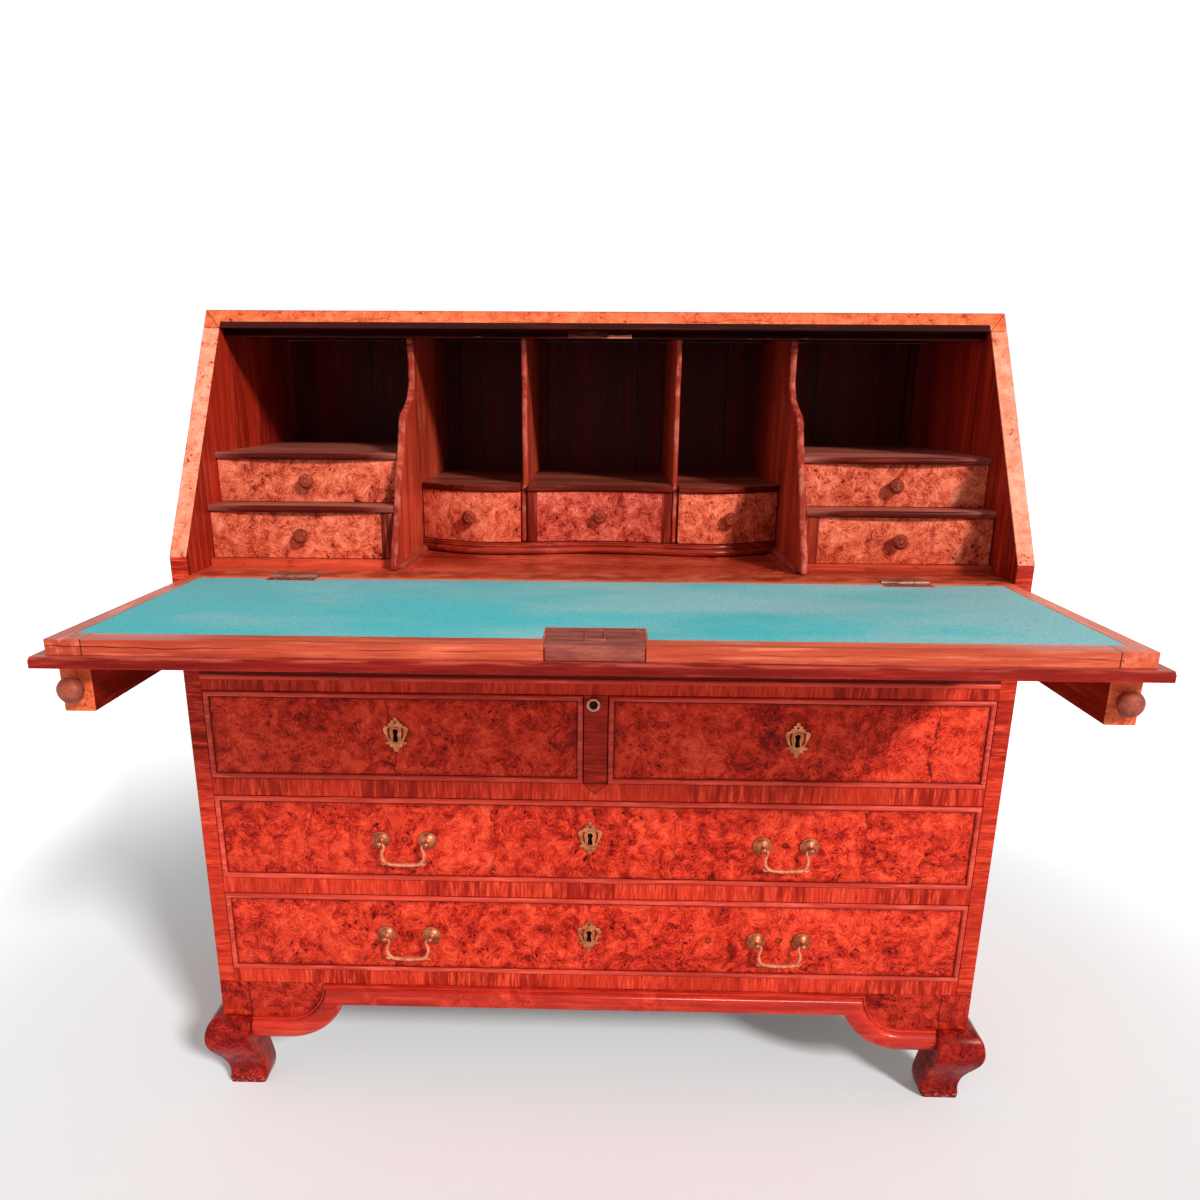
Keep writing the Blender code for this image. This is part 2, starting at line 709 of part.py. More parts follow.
def build_lopers():
    low = loper_underside()
    high = low + LOPER_HEIGHT
    inner = loper_inner_face()
    outer = inner + LOPER_WIDTH
    middle_height = (low + high) / 2
    knob = knob_line(LOPER_KNOB_RADIUS, LOPER_KNOB_LENGTH, GAP)
    knob += [(SHANK_RADIUS, GAP), (SHANK_RADIUS, -SHANK_LENGTH), (0.0, -SHANK_LENGTH)]
    for side, sign in SIDES:
        front = (sign * (inner + outer) / 2, -LOPER_PULL, middle_height)
        anchor = make_anchor("loper_slide_" + side, front, root)
        loper = add_part("loper_" + side, side_box(sign, inner, outer, -LOPER_PULL,
                                                   LOPER_LENGTH - LOPER_PULL, low, high),
                         "edge", anchor)
        start = Vector(front) + Vector((0.0, -OVERCUT, 0.0))
        end = Vector(front) + Vector((0.0, SHANK_LENGTH + SUNK, 0.0))
        cut(loper, rod(start, end, SHANK_RADIUS + HOLE_GAP))
        turn(add_part("loper_knob_" + side, profile(knob), "brass", anchor), front)


def build_fall():
    anchor = make_anchor("fall_hinge_axis", (0.0, 0.0, HINGE_HEIGHT), root)
    fall = add_part("fall_panel", box((-FALL_HALF, -FALL_LENGTH, FALL_UNDERSIDE),
                                      (FALL_HALF, -HINGE_EDGE_GAP, HINGE_HEIGHT)), "burl", anchor)
    lip_half = FALL_HALF + LIP_SIDE
    lip_front = -FALL_LENGTH - LIP_FRONT
    lip_outline = (
        (lip_front, FALL_UNDERSIDE + GAP),
        (lip_front, LIP_LEVEL - LIP_ROUND),
        (lip_front + LIP_ROUND, LIP_LEVEL),
        (-SHOULDER_REACH, LIP_LEVEL),
        (-SHOULDER_REACH, FALL_UNDERSIDE + GAP),
    )
    join(fall, slab(lip_outline, "YZ", -lip_half, lip_half))
    cut(fall, slab(felt_outline(0.0), "XY", HINGE_HEIGHT - FELT_RECESS, HINGE_HEIGHT + OVERCUT))
    felt_low = HINGE_HEIGHT - FELT_RECESS + GAP
    felt = slab(felt_outline(GAP), "XY", felt_low, felt_low + FELT_THICKNESS)
    add_part("writing_felt", felt, "baize", anchor)
    plate_half = LOCK_WIDTH / 2
    plate_back = -FALL_LENGTH + LOCK_DEPTH
    cut(fall, box((-plate_half - GAP, -FALL_LENGTH - SUNK, HINGE_HEIGHT - LOCK_PLATE - GAP),
                  (plate_half + GAP, plate_back + GAP, HINGE_HEIGHT + OVERCUT)))
    cut(fall, box((-plate_half - GAP, -FALL_LENGTH - SUNK, LIP_LEVEL - GAP),
                  (plate_half + GAP, -FALL_LENGTH + LOCK_PLATE + GAP, HINGE_HEIGHT + SUNK)))
    case_half = LOCK_CASE_WIDTH / 2
    case_front = -FALL_LENGTH + LOCK_CASE_MARGIN
    case_back = plate_back - LOCK_CASE_MARGIN
    cut(fall, box((-case_half - GAP, case_front - GAP, LIP_LEVEL - GAP),
                  (case_half + GAP, case_back + GAP, HINGE_HEIGHT + SUNK)))
    for _, sign in SIDES:
        cut_hinge_seat(fall, sign, -FALL_LEAF_DEPTH - GAP, SUNK)
    lock = add_part("fall_lock", box((-plate_half, -FALL_LENGTH, HINGE_HEIGHT - LOCK_PLATE),
                                     (plate_half, plate_back, HINGE_HEIGHT)), "iron", anchor)
    join(lock, box((-plate_half + SUNK, -FALL_LENGTH + GAP, LIP_LEVEL + GAP),
                   (plate_half - SUNK, -FALL_LENGTH + LOCK_PLATE, HINGE_HEIGHT - SUNK)))
    join(lock, box((-case_half, case_front, LIP_LEVEL + GAP),
                   (case_half, case_back, HINGE_HEIGHT - SUNK)))
    build_hinges(anchor)


def felt_outline(margin):
    """Outline of the baize, cut round the hinge leaves and the lock, drawn in by margin."""
    side = FALL_HALF - FELT_SIDE_BORDER - margin
    back = -FELT_BACK_BORDER - margin
    front = -FALL_LENGTH + FELT_FRONT_BORDER + margin
    leaf_reach = LEAF_WIDTH / 2 + LEAF_MARGIN + margin
    leaf_front = -FALL_LEAF_DEPTH - LEAF_MARGIN - margin
    lock_side = LOCK_WIDTH / 2 + LOCK_MARGIN + margin
    lock_back = -FALL_LENGTH + LOCK_DEPTH + LOCK_MARGIN + margin
    half = [
        (HINGE_SPREAD - leaf_reach, back), (HINGE_SPREAD - leaf_reach, leaf_front),
        (HINGE_SPREAD + leaf_reach, leaf_front), (HINGE_SPREAD + leaf_reach, back),
        (side, back), (side, front), (lock_side, front), (lock_side, lock_back),
    ]
    return half + [(-across, along) for across, along in reversed(half)]


def build_hinges(fall_anchor):
    half = LEAF_WIDTH / 2
    knuckle = MIDDLE_KNUCKLE / 2
    end_knuckle = knuckle + GAP
    notch = end_knuckle + GAP
    low = HINGE_HEIGHT - LEAF_THICKNESS
    clear = KNUCKLE_GROOVE + GAP
    for side, sign in SIDES:
        middle = sign * HINGE_SPREAD
        bed_outline = (
            (middle - half, LEAF_ROOT), (middle - notch, LEAF_ROOT), (middle - notch, clear),
            (middle + notch, clear), (middle + notch, LEAF_ROOT), (middle + half, LEAF_ROOT),
            (middle + half, BED_LEAF_DEPTH), (middle - half, BED_LEAF_DEPTH),
        )
        bed_leaf = add_part("hinge_" + side + "_bed_leaf",
                            slab(bed_outline, "XY", low, HINGE_HEIGHT), "brass", root)
        for start, end in ((-half, -end_knuckle), (end_knuckle, half)):
            join(bed_leaf, rod((middle + start, 0.0, HINGE_HEIGHT),
                               (middle + end, 0.0, HINGE_HEIGHT), KNUCKLE_RADIUS))
        cut(bed_leaf, rod((middle - half - SUNK, 0.0, HINGE_HEIGHT),
                          (middle + half + SUNK, 0.0, HINGE_HEIGHT), KNUCKLE_BORE))
        tab = knuckle - GAP
        fall_outline = (
            (middle - half, -FALL_LEAF_DEPTH), (middle + half, -FALL_LEAF_DEPTH),
            (middle + half, -clear), (middle + tab, -clear), (middle + tab, -LEAF_ROOT),
            (middle - tab, -LEAF_ROOT), (middle - tab, -clear), (middle - half, -clear),
        )
        fall_leaf = add_part("hinge_" + side + "_fall_leaf",
                             slab(fall_outline, "XY", low, HINGE_HEIGHT), "brass", fall_anchor)
        join(fall_leaf, rod((middle - knuckle, 0.0, HINGE_HEIGHT),
                            (middle + knuckle, 0.0, HINGE_HEIGHT), KNUCKLE_RADIUS))
        join(fall_leaf, rod((middle - PIN_LENGTH / 2, 0.0, HINGE_HEIGHT),
                            (middle + PIN_LENGTH / 2, 0.0, HINGE_HEIGHT), PIN_RADIUS))


def stretched(knots):
    """Knots of the partition pattern, raised from the writing bed to their heights."""
    stretch = (TOP_UNDERSIDE - HINGE_HEIGHT) / PATTERN_HEIGHT
    return [(behind, HINGE_HEIGHT + above * stretch) for behind, above in knots]


def build_partitions():
    bottom = HINGE_HEIGHT + GAP
    top = TOP_UNDERSIDE - GAP
    neck = (DIVIDER_FRONT, PATTERN_HEIGHT - PARTITION_NECK_DROP)
    lower = flowing(stretched(PARTITION_LOWER_KNOTS), FLOW_STEPS)
    upper = flowing(stretched(PARTITION_UPPER_KNOTS + (neck,)), FLOW_STEPS)
    outline = [(INNER_BACK, bottom), (PARTITION_FOOT, bottom)] + lower + upper
    outline += [(DIVIDER_FRONT, top), (INNER_BACK, top)]
    for side, sign in SIDES:
        mesh = slab(outline, "YZ", sign * PARTITION_SPREAD,
                    sign * (PARTITION_SPREAD + PARTITION_THICKNESS))
        add_part("partition_" + side, mesh, "inner", root)


def serpentine(across):
    """Line of the small centre drawer fronts behind the carcase front."""
    reach = abs(across)
    if reach < LOBE_SPREAD:
        part_way = (1 - math.cos(math.pi * reach / LOBE_SPREAD)) / 2
        return SERPENTINE_CENTRE + (SERPENTINE_LOBE - SERPENTINE_CENTRE) * part_way
    part_way = (reach - LOBE_SPREAD) / (PARTITION_SPREAD - LOBE_SPREAD)
    return SERPENTINE_LOBE + (SERPENTINE_END - SERPENTINE_LOBE) * part_way ** 2


def serpentine_run(start, end, offset):
    """Points along the serpentine line, moved back by offset."""
    count = max(2, math.ceil(abs(end - start) / SERPENTINE_STEP))
    places = [start + (end - start) * index / count for index in range(count + 1)]
    return [(across, serpentine(across) + offset) for across in places]


def build_dividers():
    bottom = PLINTH_TOP + GAP
    top = TOP_UNDERSIDE - GAP
    shelf_low = CENTRE_SHELF_HEIGHT - GAP
    shelf_high = CENTRE_SHELF_HEIGHT + SHELF_THICKNESS + GAP
    foot_front = serpentine(DIVIDER_SPREAD) + SMALL_SETBACK
    shaft = DIVIDER_FRONT + DIVIDER_SHAFT_SETBACK
    outline = [(INNER_BACK, bottom), (foot_front, bottom), (foot_front, shelf_low),
               (shaft, shelf_high)]
    outline += flowing(((shaft, TOP_UNDERSIDE - DIVIDER_OGEE_START),
                        (DIVIDER_FRONT + DIVIDER_OGEE_DEPTH, TOP_UNDERSIDE - DIVIDER_OGEE_MIDDLE),
                        (DIVIDER_FRONT, TOP_UNDERSIDE - DIVIDER_OGEE_END)), FLOW_STEPS)
    outline += [(DIVIDER_FRONT, top), (INNER_BACK, top), (INNER_BACK, shelf_high),
                (HALVING_DEPTH, shelf_high), (HALVING_DEPTH, shelf_low), (INNER_BACK, shelf_low)]
    for side, sign in SIDES:
        mesh = slab(outline, "YZ", sign * DIVIDER_SPREAD - DIVIDER_THICKNESS / 2,
                    sign * DIVIDER_SPREAD + DIVIDER_THICKNESS / 2)
        add_part("pigeonhole_divider_" + side, mesh, "inner", root)


def build_side_shelves():
    inner = PARTITION_SPREAD + PARTITION_THICKNESS + GAP
    levels = (
        ("lower", LOWER_SHELF_HEIGHT, LOWER_SHELF_FRONT),
        ("upper", UPPER_SHELF_HEIGHT, UPPER_SHELF_FRONT),
    )
    radius = SHELF_THICKNESS / 2
    for level, low, front in levels:
        outline = [(INNER_BACK, low)]
        for step in range(NOSE_STEPS + 1):
            angle = math.pi * step / NOSE_STEPS
            outline.append((front + radius - radius * math.sin(angle),
                            low + radius - radius * math.cos(angle)))
        outline.append((INNER_BACK, low + SHELF_THICKNESS))
        for side, sign in SIDES:
            mesh = slab(outline, "YZ", sign * inner, sign * BOARD_HALF)
            add_part("shelf_" + level + "_" + side, mesh, "inner", root)


def build_centre_shelf():
    half = PARTITION_SPREAD - GAP
    slot = DIVIDER_THICKNESS / 2 + GAP
    slot_back = HALVING_DEPTH + GAP
    edges = (-half, -DIVIDER_SPREAD - slot, -DIVIDER_SPREAD + slot, DIVIDER_SPREAD - slot,
             DIVIDER_SPREAD + slot, half)
    outline = []
    for start, end in zip(edges[::2], edges[1::2]):
        if outline:
            outline.append((start, slot_back))
        outline += serpentine_run(start, end, -CENTRE_SHELF_LIP)
        if end < half:
            outline.append((end, slot_back))
    outline += [(half, INNER_BACK), (-half, INNER_BACK)]
    mesh = slab(outline, "XY", CENTRE_SHELF_HEIGHT, CENTRE_SHELF_HEIGHT + SHELF_THICKNESS)
    add_part("centre_shelf", mesh, "inner", root)


def build_centre_plinth():
    half = PARTITION_SPREAD - GAP
    outline = serpentine_run(-half, half, -PLINTH_LIP)
    outline += [(half, INNER_BACK), (-half, INNER_BACK)]
    add_part("centre_plinth", slab(outline, "XY", HINGE_HEIGHT + GAP, PLINTH_TOP), "inner", root)


def build_well_slide():
    low = HINGE_HEIGHT - SLIDE_REBATE + GAP
    high = low + SLIDE_THICKNESS
    anchor = make_anchor("well_slide_run", (0.0, SLIDE_FRONT, low), root)
    slide = add_part("well_slide", box((-SLIDE_HALF_WIDTH, SLIDE_FRONT, low),
                                       (SLIDE_HALF_WIDTH, SLIDE_BACK, high)), "inner", anchor)
    cut(slide, box((-NOTCH_HALF_WIDTH, NOTCH_CENTRE - NOTCH_DEPTH, high - NOTCH_DEPTH),
                   (NOTCH_HALF_WIDTH, NOTCH_CENTRE + NOTCH_DEPTH, high + SUNK)))


def wood_knob(drawer, place):
    """Turned wooden knob, rooted in the drawer front."""
    line = knob_line(KNOB_RADIUS, KNOB_LENGTH, 0.0)
    line += [(line[-1][0], -SMALL_SETBACK), (0.0, -SMALL_SETBACK)]
    turn(join(drawer, profile(line)), place)


def build_side_drawers():
    inner = PARTITION_SPREAD + PARTITION_THICKNESS + SMALL_GAP + GAP
    outer = BOARD_HALF - SMALL_GAP
    levels = (
        ("lower", HINGE_HEIGHT + BANK_HEIGHT, LOWER_SHELF_HEIGHT, LOWER_SHELF_FRONT),
        ("upper", LOWER_SHELF_HEIGHT + SHELF_THICKNESS, UPPER_SHELF_HEIGHT, UPPER_SHELF_FRONT),
    )
    for level, below, above, shelf_front in levels:
        low = below + FALL_GAP
        high = above - FALL_GAP
        front = shelf_front + SMALL_SETBACK
        for side, sign in SIDES:
            name = "inner_drawer_" + level + "_" + side
            middle = (sign * (inner + outer) / 2, front, (low + high) / 2)
            anchor = make_anchor(name + "_run", middle, root)
            drawer = add_part(name, side_box(sign, inner, outer, front, front + SMALL_FRONT,
                                             low, high), "inner", anchor)
            join(drawer, side_box(sign, inner + GAP, outer - GAP, front + SMALL_SETBACK,
                                  SMALL_BACK, low + GAP, high - SMALL_LOWERED))
            cut(drawer, side_box(sign, inner + SMALL_SIDE, outer - SMALL_SIDE,
                                 front + SMALL_FRONT - CAVITY_BITE, SMALL_BACK - SMALL_SIDE,
                                 low + SMALL_BOTTOM, high + OVERCUT))
            wood_knob(drawer, middle)


def build_centre_drawers():
    low = PLINTH_TOP + FALL_GAP
    high = CENTRE_SHELF_HEIGHT - FALL_GAP
    wall = DIVIDER_THICKNESS / 2 + SMALL_GAP
    outer = PARTITION_SPREAD - SMALL_GAP - FALL_GAP
    bays = (
        ("inner_drawer_centre_left", -outer, -DIVIDER_SPREAD - wall),
        ("inner_drawer_centre", -DIVIDER_SPREAD + wall, DIVIDER_SPREAD - wall),
        ("inner_drawer_centre_right", DIVIDER_SPREAD + wall, outer),
    )
    for name, start, end in bays:
        middle = (start + end) / 2
        place = (middle, serpentine(middle), (low + high) / 2)
        anchor = make_anchor(name + "_run", place, root)
        outline = serpentine_run(start, end, 0.0) + [(end, SMALL_BACK), (start, SMALL_BACK)]
        drawer = add_part(name, slab(outline, "XY", low, high), "inner", anchor)
        inside = serpentine_run(start + SMALL_SIDE, end - SMALL_SIDE, SMALL_FRONT)
        inside += [(end - SMALL_SIDE, SMALL_BACK - SMALL_SIDE),
                   (start + SMALL_SIDE, SMALL_BACK - SMALL_SIDE)]
        cut(drawer, slab(inside, "XY", low + SMALL_BOTTOM, high + OVERCUT))
        wood_knob(drawer, place)


def beaded_front(start, end, low, high):
    """Drawer front whose edge carries a raised bead all round."""
    mesh = box((start, -BEAD_PROJECTION, low), (end, DRAWER_FRONT, high))
    form = bmesh.new()
    form.from_mesh(mesh)
    form.faces.ensure_lookup_table()
    face = min(form.faces, key=lambda item: item.calc_center_median().y)
    bmesh.ops.inset_region(form, faces=[face], thickness=BEAD_WIDTH, depth=0.0)
    bmesh.ops.inset_region(form, faces=[face], thickness=BEAD_STEP, depth=-BEAD_PROJECTION)
    form.to_mesh(mesh)
    form.free()
    return mesh


def build_main_drawers():
    outer = INNER_HALF - DRAWER_SIDE_GAP
    inner = POST_WIDTH / 2 + DRAWER_SIDE_GAP
    rows = (
        ("short_drawer_left", -outer, -inner, SHORT_SILL, SHORT_HEAD),
        ("short_drawer_right", inner, outer, SHORT_SILL, SHORT_HEAD),
        ("middle_drawer", -outer, outer, MIDDLE_SILL, MIDDLE_HEAD),
        ("bottom_drawer", -outer, outer, BOTTOM_SILL, BOTTOM_HEAD),
    )
    for name, start, end, sill, head in rows:
        low = sill + RUNNING_GAP
        high = head - RUNNING_GAP
        middle_height = (low + high) / 2
        anchor = make_anchor(name + "_run", ((start + end) / 2, 0.0, middle_height), root)
        drawer = add_part(name, beaded_front(start, end, low, high), "burl", anchor)
        join(drawer, box((start + GAP, TRAY_OVERLAP, low + GAP),
                         (end - GAP, DRAWER_BACK, high - DRAWER_LOWERED)))
        cut(drawer, box((start + DRAWER_SIDE, DRAWER_FRONT - CAVITY_BITE, low + DRAWER_BOTTOM),
                        (end - DRAWER_SIDE, DRAWER_BACK - DRAWER_SIDE, high + OVERCUT)))
        if name.startswith("short"):
            continue
        row = name.split("_")[0]
        for side, sign in SIDES:
            build_handle(row + "_" + side, sign * HANDLE_SPREAD, middle_height, drawer, anchor)


def build_handle(name, across, height, drawer, anchor):
    """Two posts with rosettes and the swan-neck bail that swings between their balls."""
    line = [(0.0, BALL_REACH + BALL_RADIUS)]
    for step in range(1, BALL_STEPS):
        angle = math.pi * step / BALL_STEPS
        line.append((BALL_RADIUS * math.sin(angle), BALL_REACH + BALL_RADIUS * math.cos(angle)))
    line += [(POST_SHANK_RADIUS, ROSETTE_CROWN), (ROSETTE_RADIUS - ROSETTE_RIM, ROSETTE_SHOULDER),
             (ROSETTE_RADIUS, ROSETTE_EDGE), (ROSETTE_RADIUS, GAP), (POST_SHANK_RADIUS, GAP),
             (POST_SHANK_RADIUS, -POST_SHANK_LENGTH), (0.0, -POST_SHANK_LENGTH)]
    for side, sign in SIDES:
        middle = across + sign * POST_SPACING / 2
        post = add_part("handle_" + name + "_post_" + side, profile(line), "brass", anchor)
        turn(post, (middle, 0.0, height))
        cut(post, rod((middle + sign * SUNK, -BALL_REACH, height),
                      (middle - sign * OVERCUT, -BALL_REACH, height), BAIL_PIN_BORE))
        cut(drawer, rod((middle, -OVERCUT, height),
                        (middle, POST_SHANK_LENGTH + SUNK, height), POST_SHANK_RADIUS + HOLE_GAP))
    build_bail(name, across, height)


def build_bail(name, across, height):
    anchor = make_anchor("bail_axis_" + name, (across, -BALL_REACH, height), root)
    arm = [(-BAIL_PIN_TIP, 0.0), (-BAIL_PIN_TIP + BAIL_PIN_LENGTH, 0.0)]
    arm += flowing(((-BAIL_SHOULDER, -BAIL_ELBOW_DROP), (-BAIL_SHOULDER, -BAIL_NECK_DROP),
                    (-BAIL_SWELL, -BAIL_SWELL_DROP), (-BAIL_HIP, -BAIL_HIP_DROP),
                    (-BAIL_CORNER, -BAIL_CORNER_DROP), (-BAIL_CORNER / 2, -BAIL_DROP)), BAIL_STEPS)
    run = arm + [(0.0, -BAIL_DROP)] + [(-reach, drop) for reach, drop in reversed(arm)]
    curve = bpy.data.curves.new("bail_" + name, "CURVE")
    curve.dimensions = "3D"
    curve.bevel_depth = BAIL_RADIUS
    curve.bevel_resolution = 2
    curve.use_fill_caps = True
    spline = curve.splines.new("POLY")
    spline.points.add(len(run) - 1)
    for point, (reach, drop) in zip(spline.points, run):
        point.co = (across + reach, -BALL_REACH, height + drop, 1.0)
        point.radius = BAIL_PIN_SHARE - (1 - BAIL_PIN_SHARE) * drop / BAIL_DROP
    spline.use_smooth = True
    add_part("bail_" + name, curve, "brass", anchor)


clear_scene()
bureau = new_collection("slant_front_bureau")
cutters = new_collection("shaping_forms")
root = make_anchor("bureau_root", (0.0, -CENTRE_SHIFT, 0.0), None)
build_sides()
build_top()
build_back()
build_boards()
build_drawer_divider()
build_well_tray()
build_writing_bed()
build_base_frame()
build_feet()
build_lopers()
build_fall()
build_partitions()
build_dividers()
build_side_shelves()
build_centre_shelf()
build_centre_plinth()
build_well_slide()
build_side_drawers()
build_centre_drawers()
build_main_drawers()
bpy.context.view_layer.update()
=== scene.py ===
import math

import bmesh
import bpy
from mathutils import Matrix, Vector


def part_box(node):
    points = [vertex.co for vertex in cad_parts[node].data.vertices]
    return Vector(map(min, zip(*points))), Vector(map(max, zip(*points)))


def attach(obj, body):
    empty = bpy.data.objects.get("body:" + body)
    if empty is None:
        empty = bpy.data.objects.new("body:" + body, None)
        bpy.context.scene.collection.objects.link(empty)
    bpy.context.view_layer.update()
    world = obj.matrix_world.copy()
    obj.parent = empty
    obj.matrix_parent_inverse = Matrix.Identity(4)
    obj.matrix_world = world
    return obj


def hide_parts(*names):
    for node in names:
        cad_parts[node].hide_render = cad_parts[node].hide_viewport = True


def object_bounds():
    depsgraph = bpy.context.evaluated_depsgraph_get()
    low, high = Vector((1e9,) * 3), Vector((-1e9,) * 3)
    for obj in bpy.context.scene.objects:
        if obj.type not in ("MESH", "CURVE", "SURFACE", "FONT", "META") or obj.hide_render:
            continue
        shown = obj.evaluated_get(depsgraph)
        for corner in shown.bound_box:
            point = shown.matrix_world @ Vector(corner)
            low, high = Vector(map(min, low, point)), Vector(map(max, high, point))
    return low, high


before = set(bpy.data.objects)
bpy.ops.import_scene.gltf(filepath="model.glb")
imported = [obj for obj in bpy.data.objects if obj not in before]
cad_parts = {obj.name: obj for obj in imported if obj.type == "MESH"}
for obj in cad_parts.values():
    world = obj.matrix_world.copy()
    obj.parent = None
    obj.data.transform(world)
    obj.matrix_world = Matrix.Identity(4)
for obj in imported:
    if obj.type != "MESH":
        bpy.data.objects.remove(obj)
cad_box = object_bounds()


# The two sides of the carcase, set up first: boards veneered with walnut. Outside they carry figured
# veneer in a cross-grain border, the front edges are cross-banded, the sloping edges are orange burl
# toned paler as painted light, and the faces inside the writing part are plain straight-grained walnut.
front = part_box("bottom_board")[0].y
carcase_back = cad_box[1][1] - front
top_height = cad_box[1][2]
base_height = 0.160
half_width = 0.500
slope_back = 0.202
slope = math.radians(54.09)
both = (("left", -1), ("right", 1))


class Figure:
    """One socket of a finish, so that the figure of a wood is written as sums of patterns."""

    def __init__(self, tree, socket):
        self.tree = tree
        self.socket = socket

    def node(self, kind, sockets, settings=None, out=0):
        """A node of that kind: its settings first, then the values or links of its sockets."""
        made = self.tree.nodes.new(kind)
        for name, value in (settings or {}).items():
            if name == "stops":
                ramp = made.color_ramp.elements
                for _ in value[2:]:
                    ramp.new(1.0)
                for stop, (place, colour) in zip(ramp, value):
                    stop.position = place
                    stop.color = colour
            else:
                setattr(made, name, value)
        for key, value in sockets.items():
            if isinstance(value, Figure):
                self.tree.links.new(value.socket, made.inputs[key])
            else:
                made.inputs[key].default_value = value
        return Figure(self.tree, made.outputs[out])

    def work(self, operation, first, second=0.0):
        return self.node("ShaderNodeMath", {0: first, 1: second}, {"operation": operation})

    def through(self, operation):
        """The value put through an operation that takes no other value."""
        return self.work(operation, self)

    def __add__(self, other):
        return self.work("ADD", self, other)

    __radd__ = __add__

    def __sub__(self, other):
        return self.work("SUBTRACT", self, other)

    def __rsub__(self, other):
        return self.work("SUBTRACT", other, self)

    def __mul__(self, other):
        return self.work("MULTIPLY", self, other)

    __rmul__ = __mul__

    def __abs__(self):
        return self.through("ABSOLUTE")


def stain(red, green, blue):
    """A colour as the eye reads it, from 0 to 255, in the light's own measure."""
    tones = [value / 255 for value in (red, green, blue)]
    return (*[t / 12.92 if t < 0.04045 else ((t + 0.055) / 1.055) ** 2.4 for t in tones], 1.0)


def surface(tree):
    """The place on the piece that carries a finish."""
    return Figure(tree, tree.nodes.new("ShaderNodeTexCoord").outputs["Object"])


def begin(name):
    """A new finish, and the place on the piece, with depths measured from the carcase front."""
    made = bpy.data.materials.new(name)
    made.use_nodes = True
    return made, moved(surface(made.node_tree), (0.0, -front, 0.0))


def moved(place, by):
    return place.node("ShaderNodeVectorMath", {0: place, 1: by}, {"operation": "ADD"})


def scaled(place, by):
    return place.node("ShaderNodeVectorMath", {0: place, 1: by}, {"operation": "MULTIPLY"})


def axes(place):
    split = place.node("ShaderNodeSeparateXYZ", {0: place})
    return [Figure(place.tree, socket) for socket in split.socket.node.outputs]


def cloud(place, fineness, detail=3.0, rough=0.5):
    """Soft patches, so many of them to the metre."""
    return place.node("ShaderNodeTexNoise", {"Vector": place, "Scale": fineness, "Detail": detail,
                                             "Roughness": rough})


def curled(place, fineness, amount):
    """The place pushed about in swirls of that fineness."""
    push = place.node("ShaderNodeTexNoise", {"Vector": place, "Scale": fineness, "Detail": 2.0}, out=1)
    return moved(place, scaled(moved(push, (-0.5, -0.5, -0.5)), (amount, amount, amount)))


def over(value, low, high):
    """A soft step from 0 at low to 1 at high."""
    return value.node("ShaderNodeMapRange", {"Value": value, "From Min": low, "From Max": high},
                      {"interpolation_type": "SMOOTHSTEP"})


def blend(share, first, second):
    """The first colour with that share of the second: each is a figure, or three numbers for a stain."""
    first, second = [tint if isinstance(tint, Figure) else stain(*tint) for tint in (first, second)]
    return share.node("ShaderNodeMix", {0: share, 6: first, 7: second}, {"data_type": "RGBA"}, out=2)


def least(first, second):
    return first.work("MINIMUM", first, second)


def straight_grain(place, along, tones, fineness=1.0):
    """Straight-grained walnut whose growth lines run along one axis: its colour and its relief."""
    squeeze = [fineness] * 3
    squeeze[along] = 0.07 * fineness
    drawn = curled(scaled(place, squeeze), 7.0, 0.014)
    broad = cloud(drawn, 26.0)
    lines = cloud(drawn, 170.0, 4.0, 0.62)
    pores = over(cloud(drawn, 620.0, 2.0), 0.57, 0.70)
    tone = blend(over(broad * 0.6 + lines * 0.4, 0.34, 0.66), tones[0], tones[1])
    tone = blend(over(lines, 0.52, 0.72) * 0.45, tone, tones[2])
    tone = blend(pores * 0.5, tone, tones[0])
    return tone, lines * 0.5 - pores


def by_lot(number):
    """A chance value of its own for each whole number."""
    return number.node("ShaderNodeTexWhiteNoise", {"W": number.through("FLOOR")}, {"noise_dimensions": "1D"})


def cross_band(place, along, tones, step=0.083):
    """Short lengths of veneer laid side by side along one axis, their grain across it."""
    run = axes(place)[along] + cloud(place, 5.0, 1.0) * 0.03 + 40.0
    chance = by_lot(run * (1.0 / step))
    squeeze = [0.10] * 3
    squeeze[along] = 1.0
    drawn = curled(scaled(place, squeeze), 30.0, 0.006)
    lines = cloud(drawn, 150.0, 4.0, 0.65)
    fine = cloud(drawn, 520.0, 3.0, 0.6)
    tone = blend(over(lines * 0.80 + chance * 0.20, 0.30, 0.58), tones[0], tones[1])
    tone = blend(over(lines * 0.5 + fine * 0.5, 0.49, 0.66) * 0.75, tone, tones[2])
    tone = blend(over(fine, 0.46, 0.36) * 0.60, tone, tones[0])
    tone = blend(over(chance, 0.78, 0.98) * 0.35, tone, tones[0])
    return tone, fine


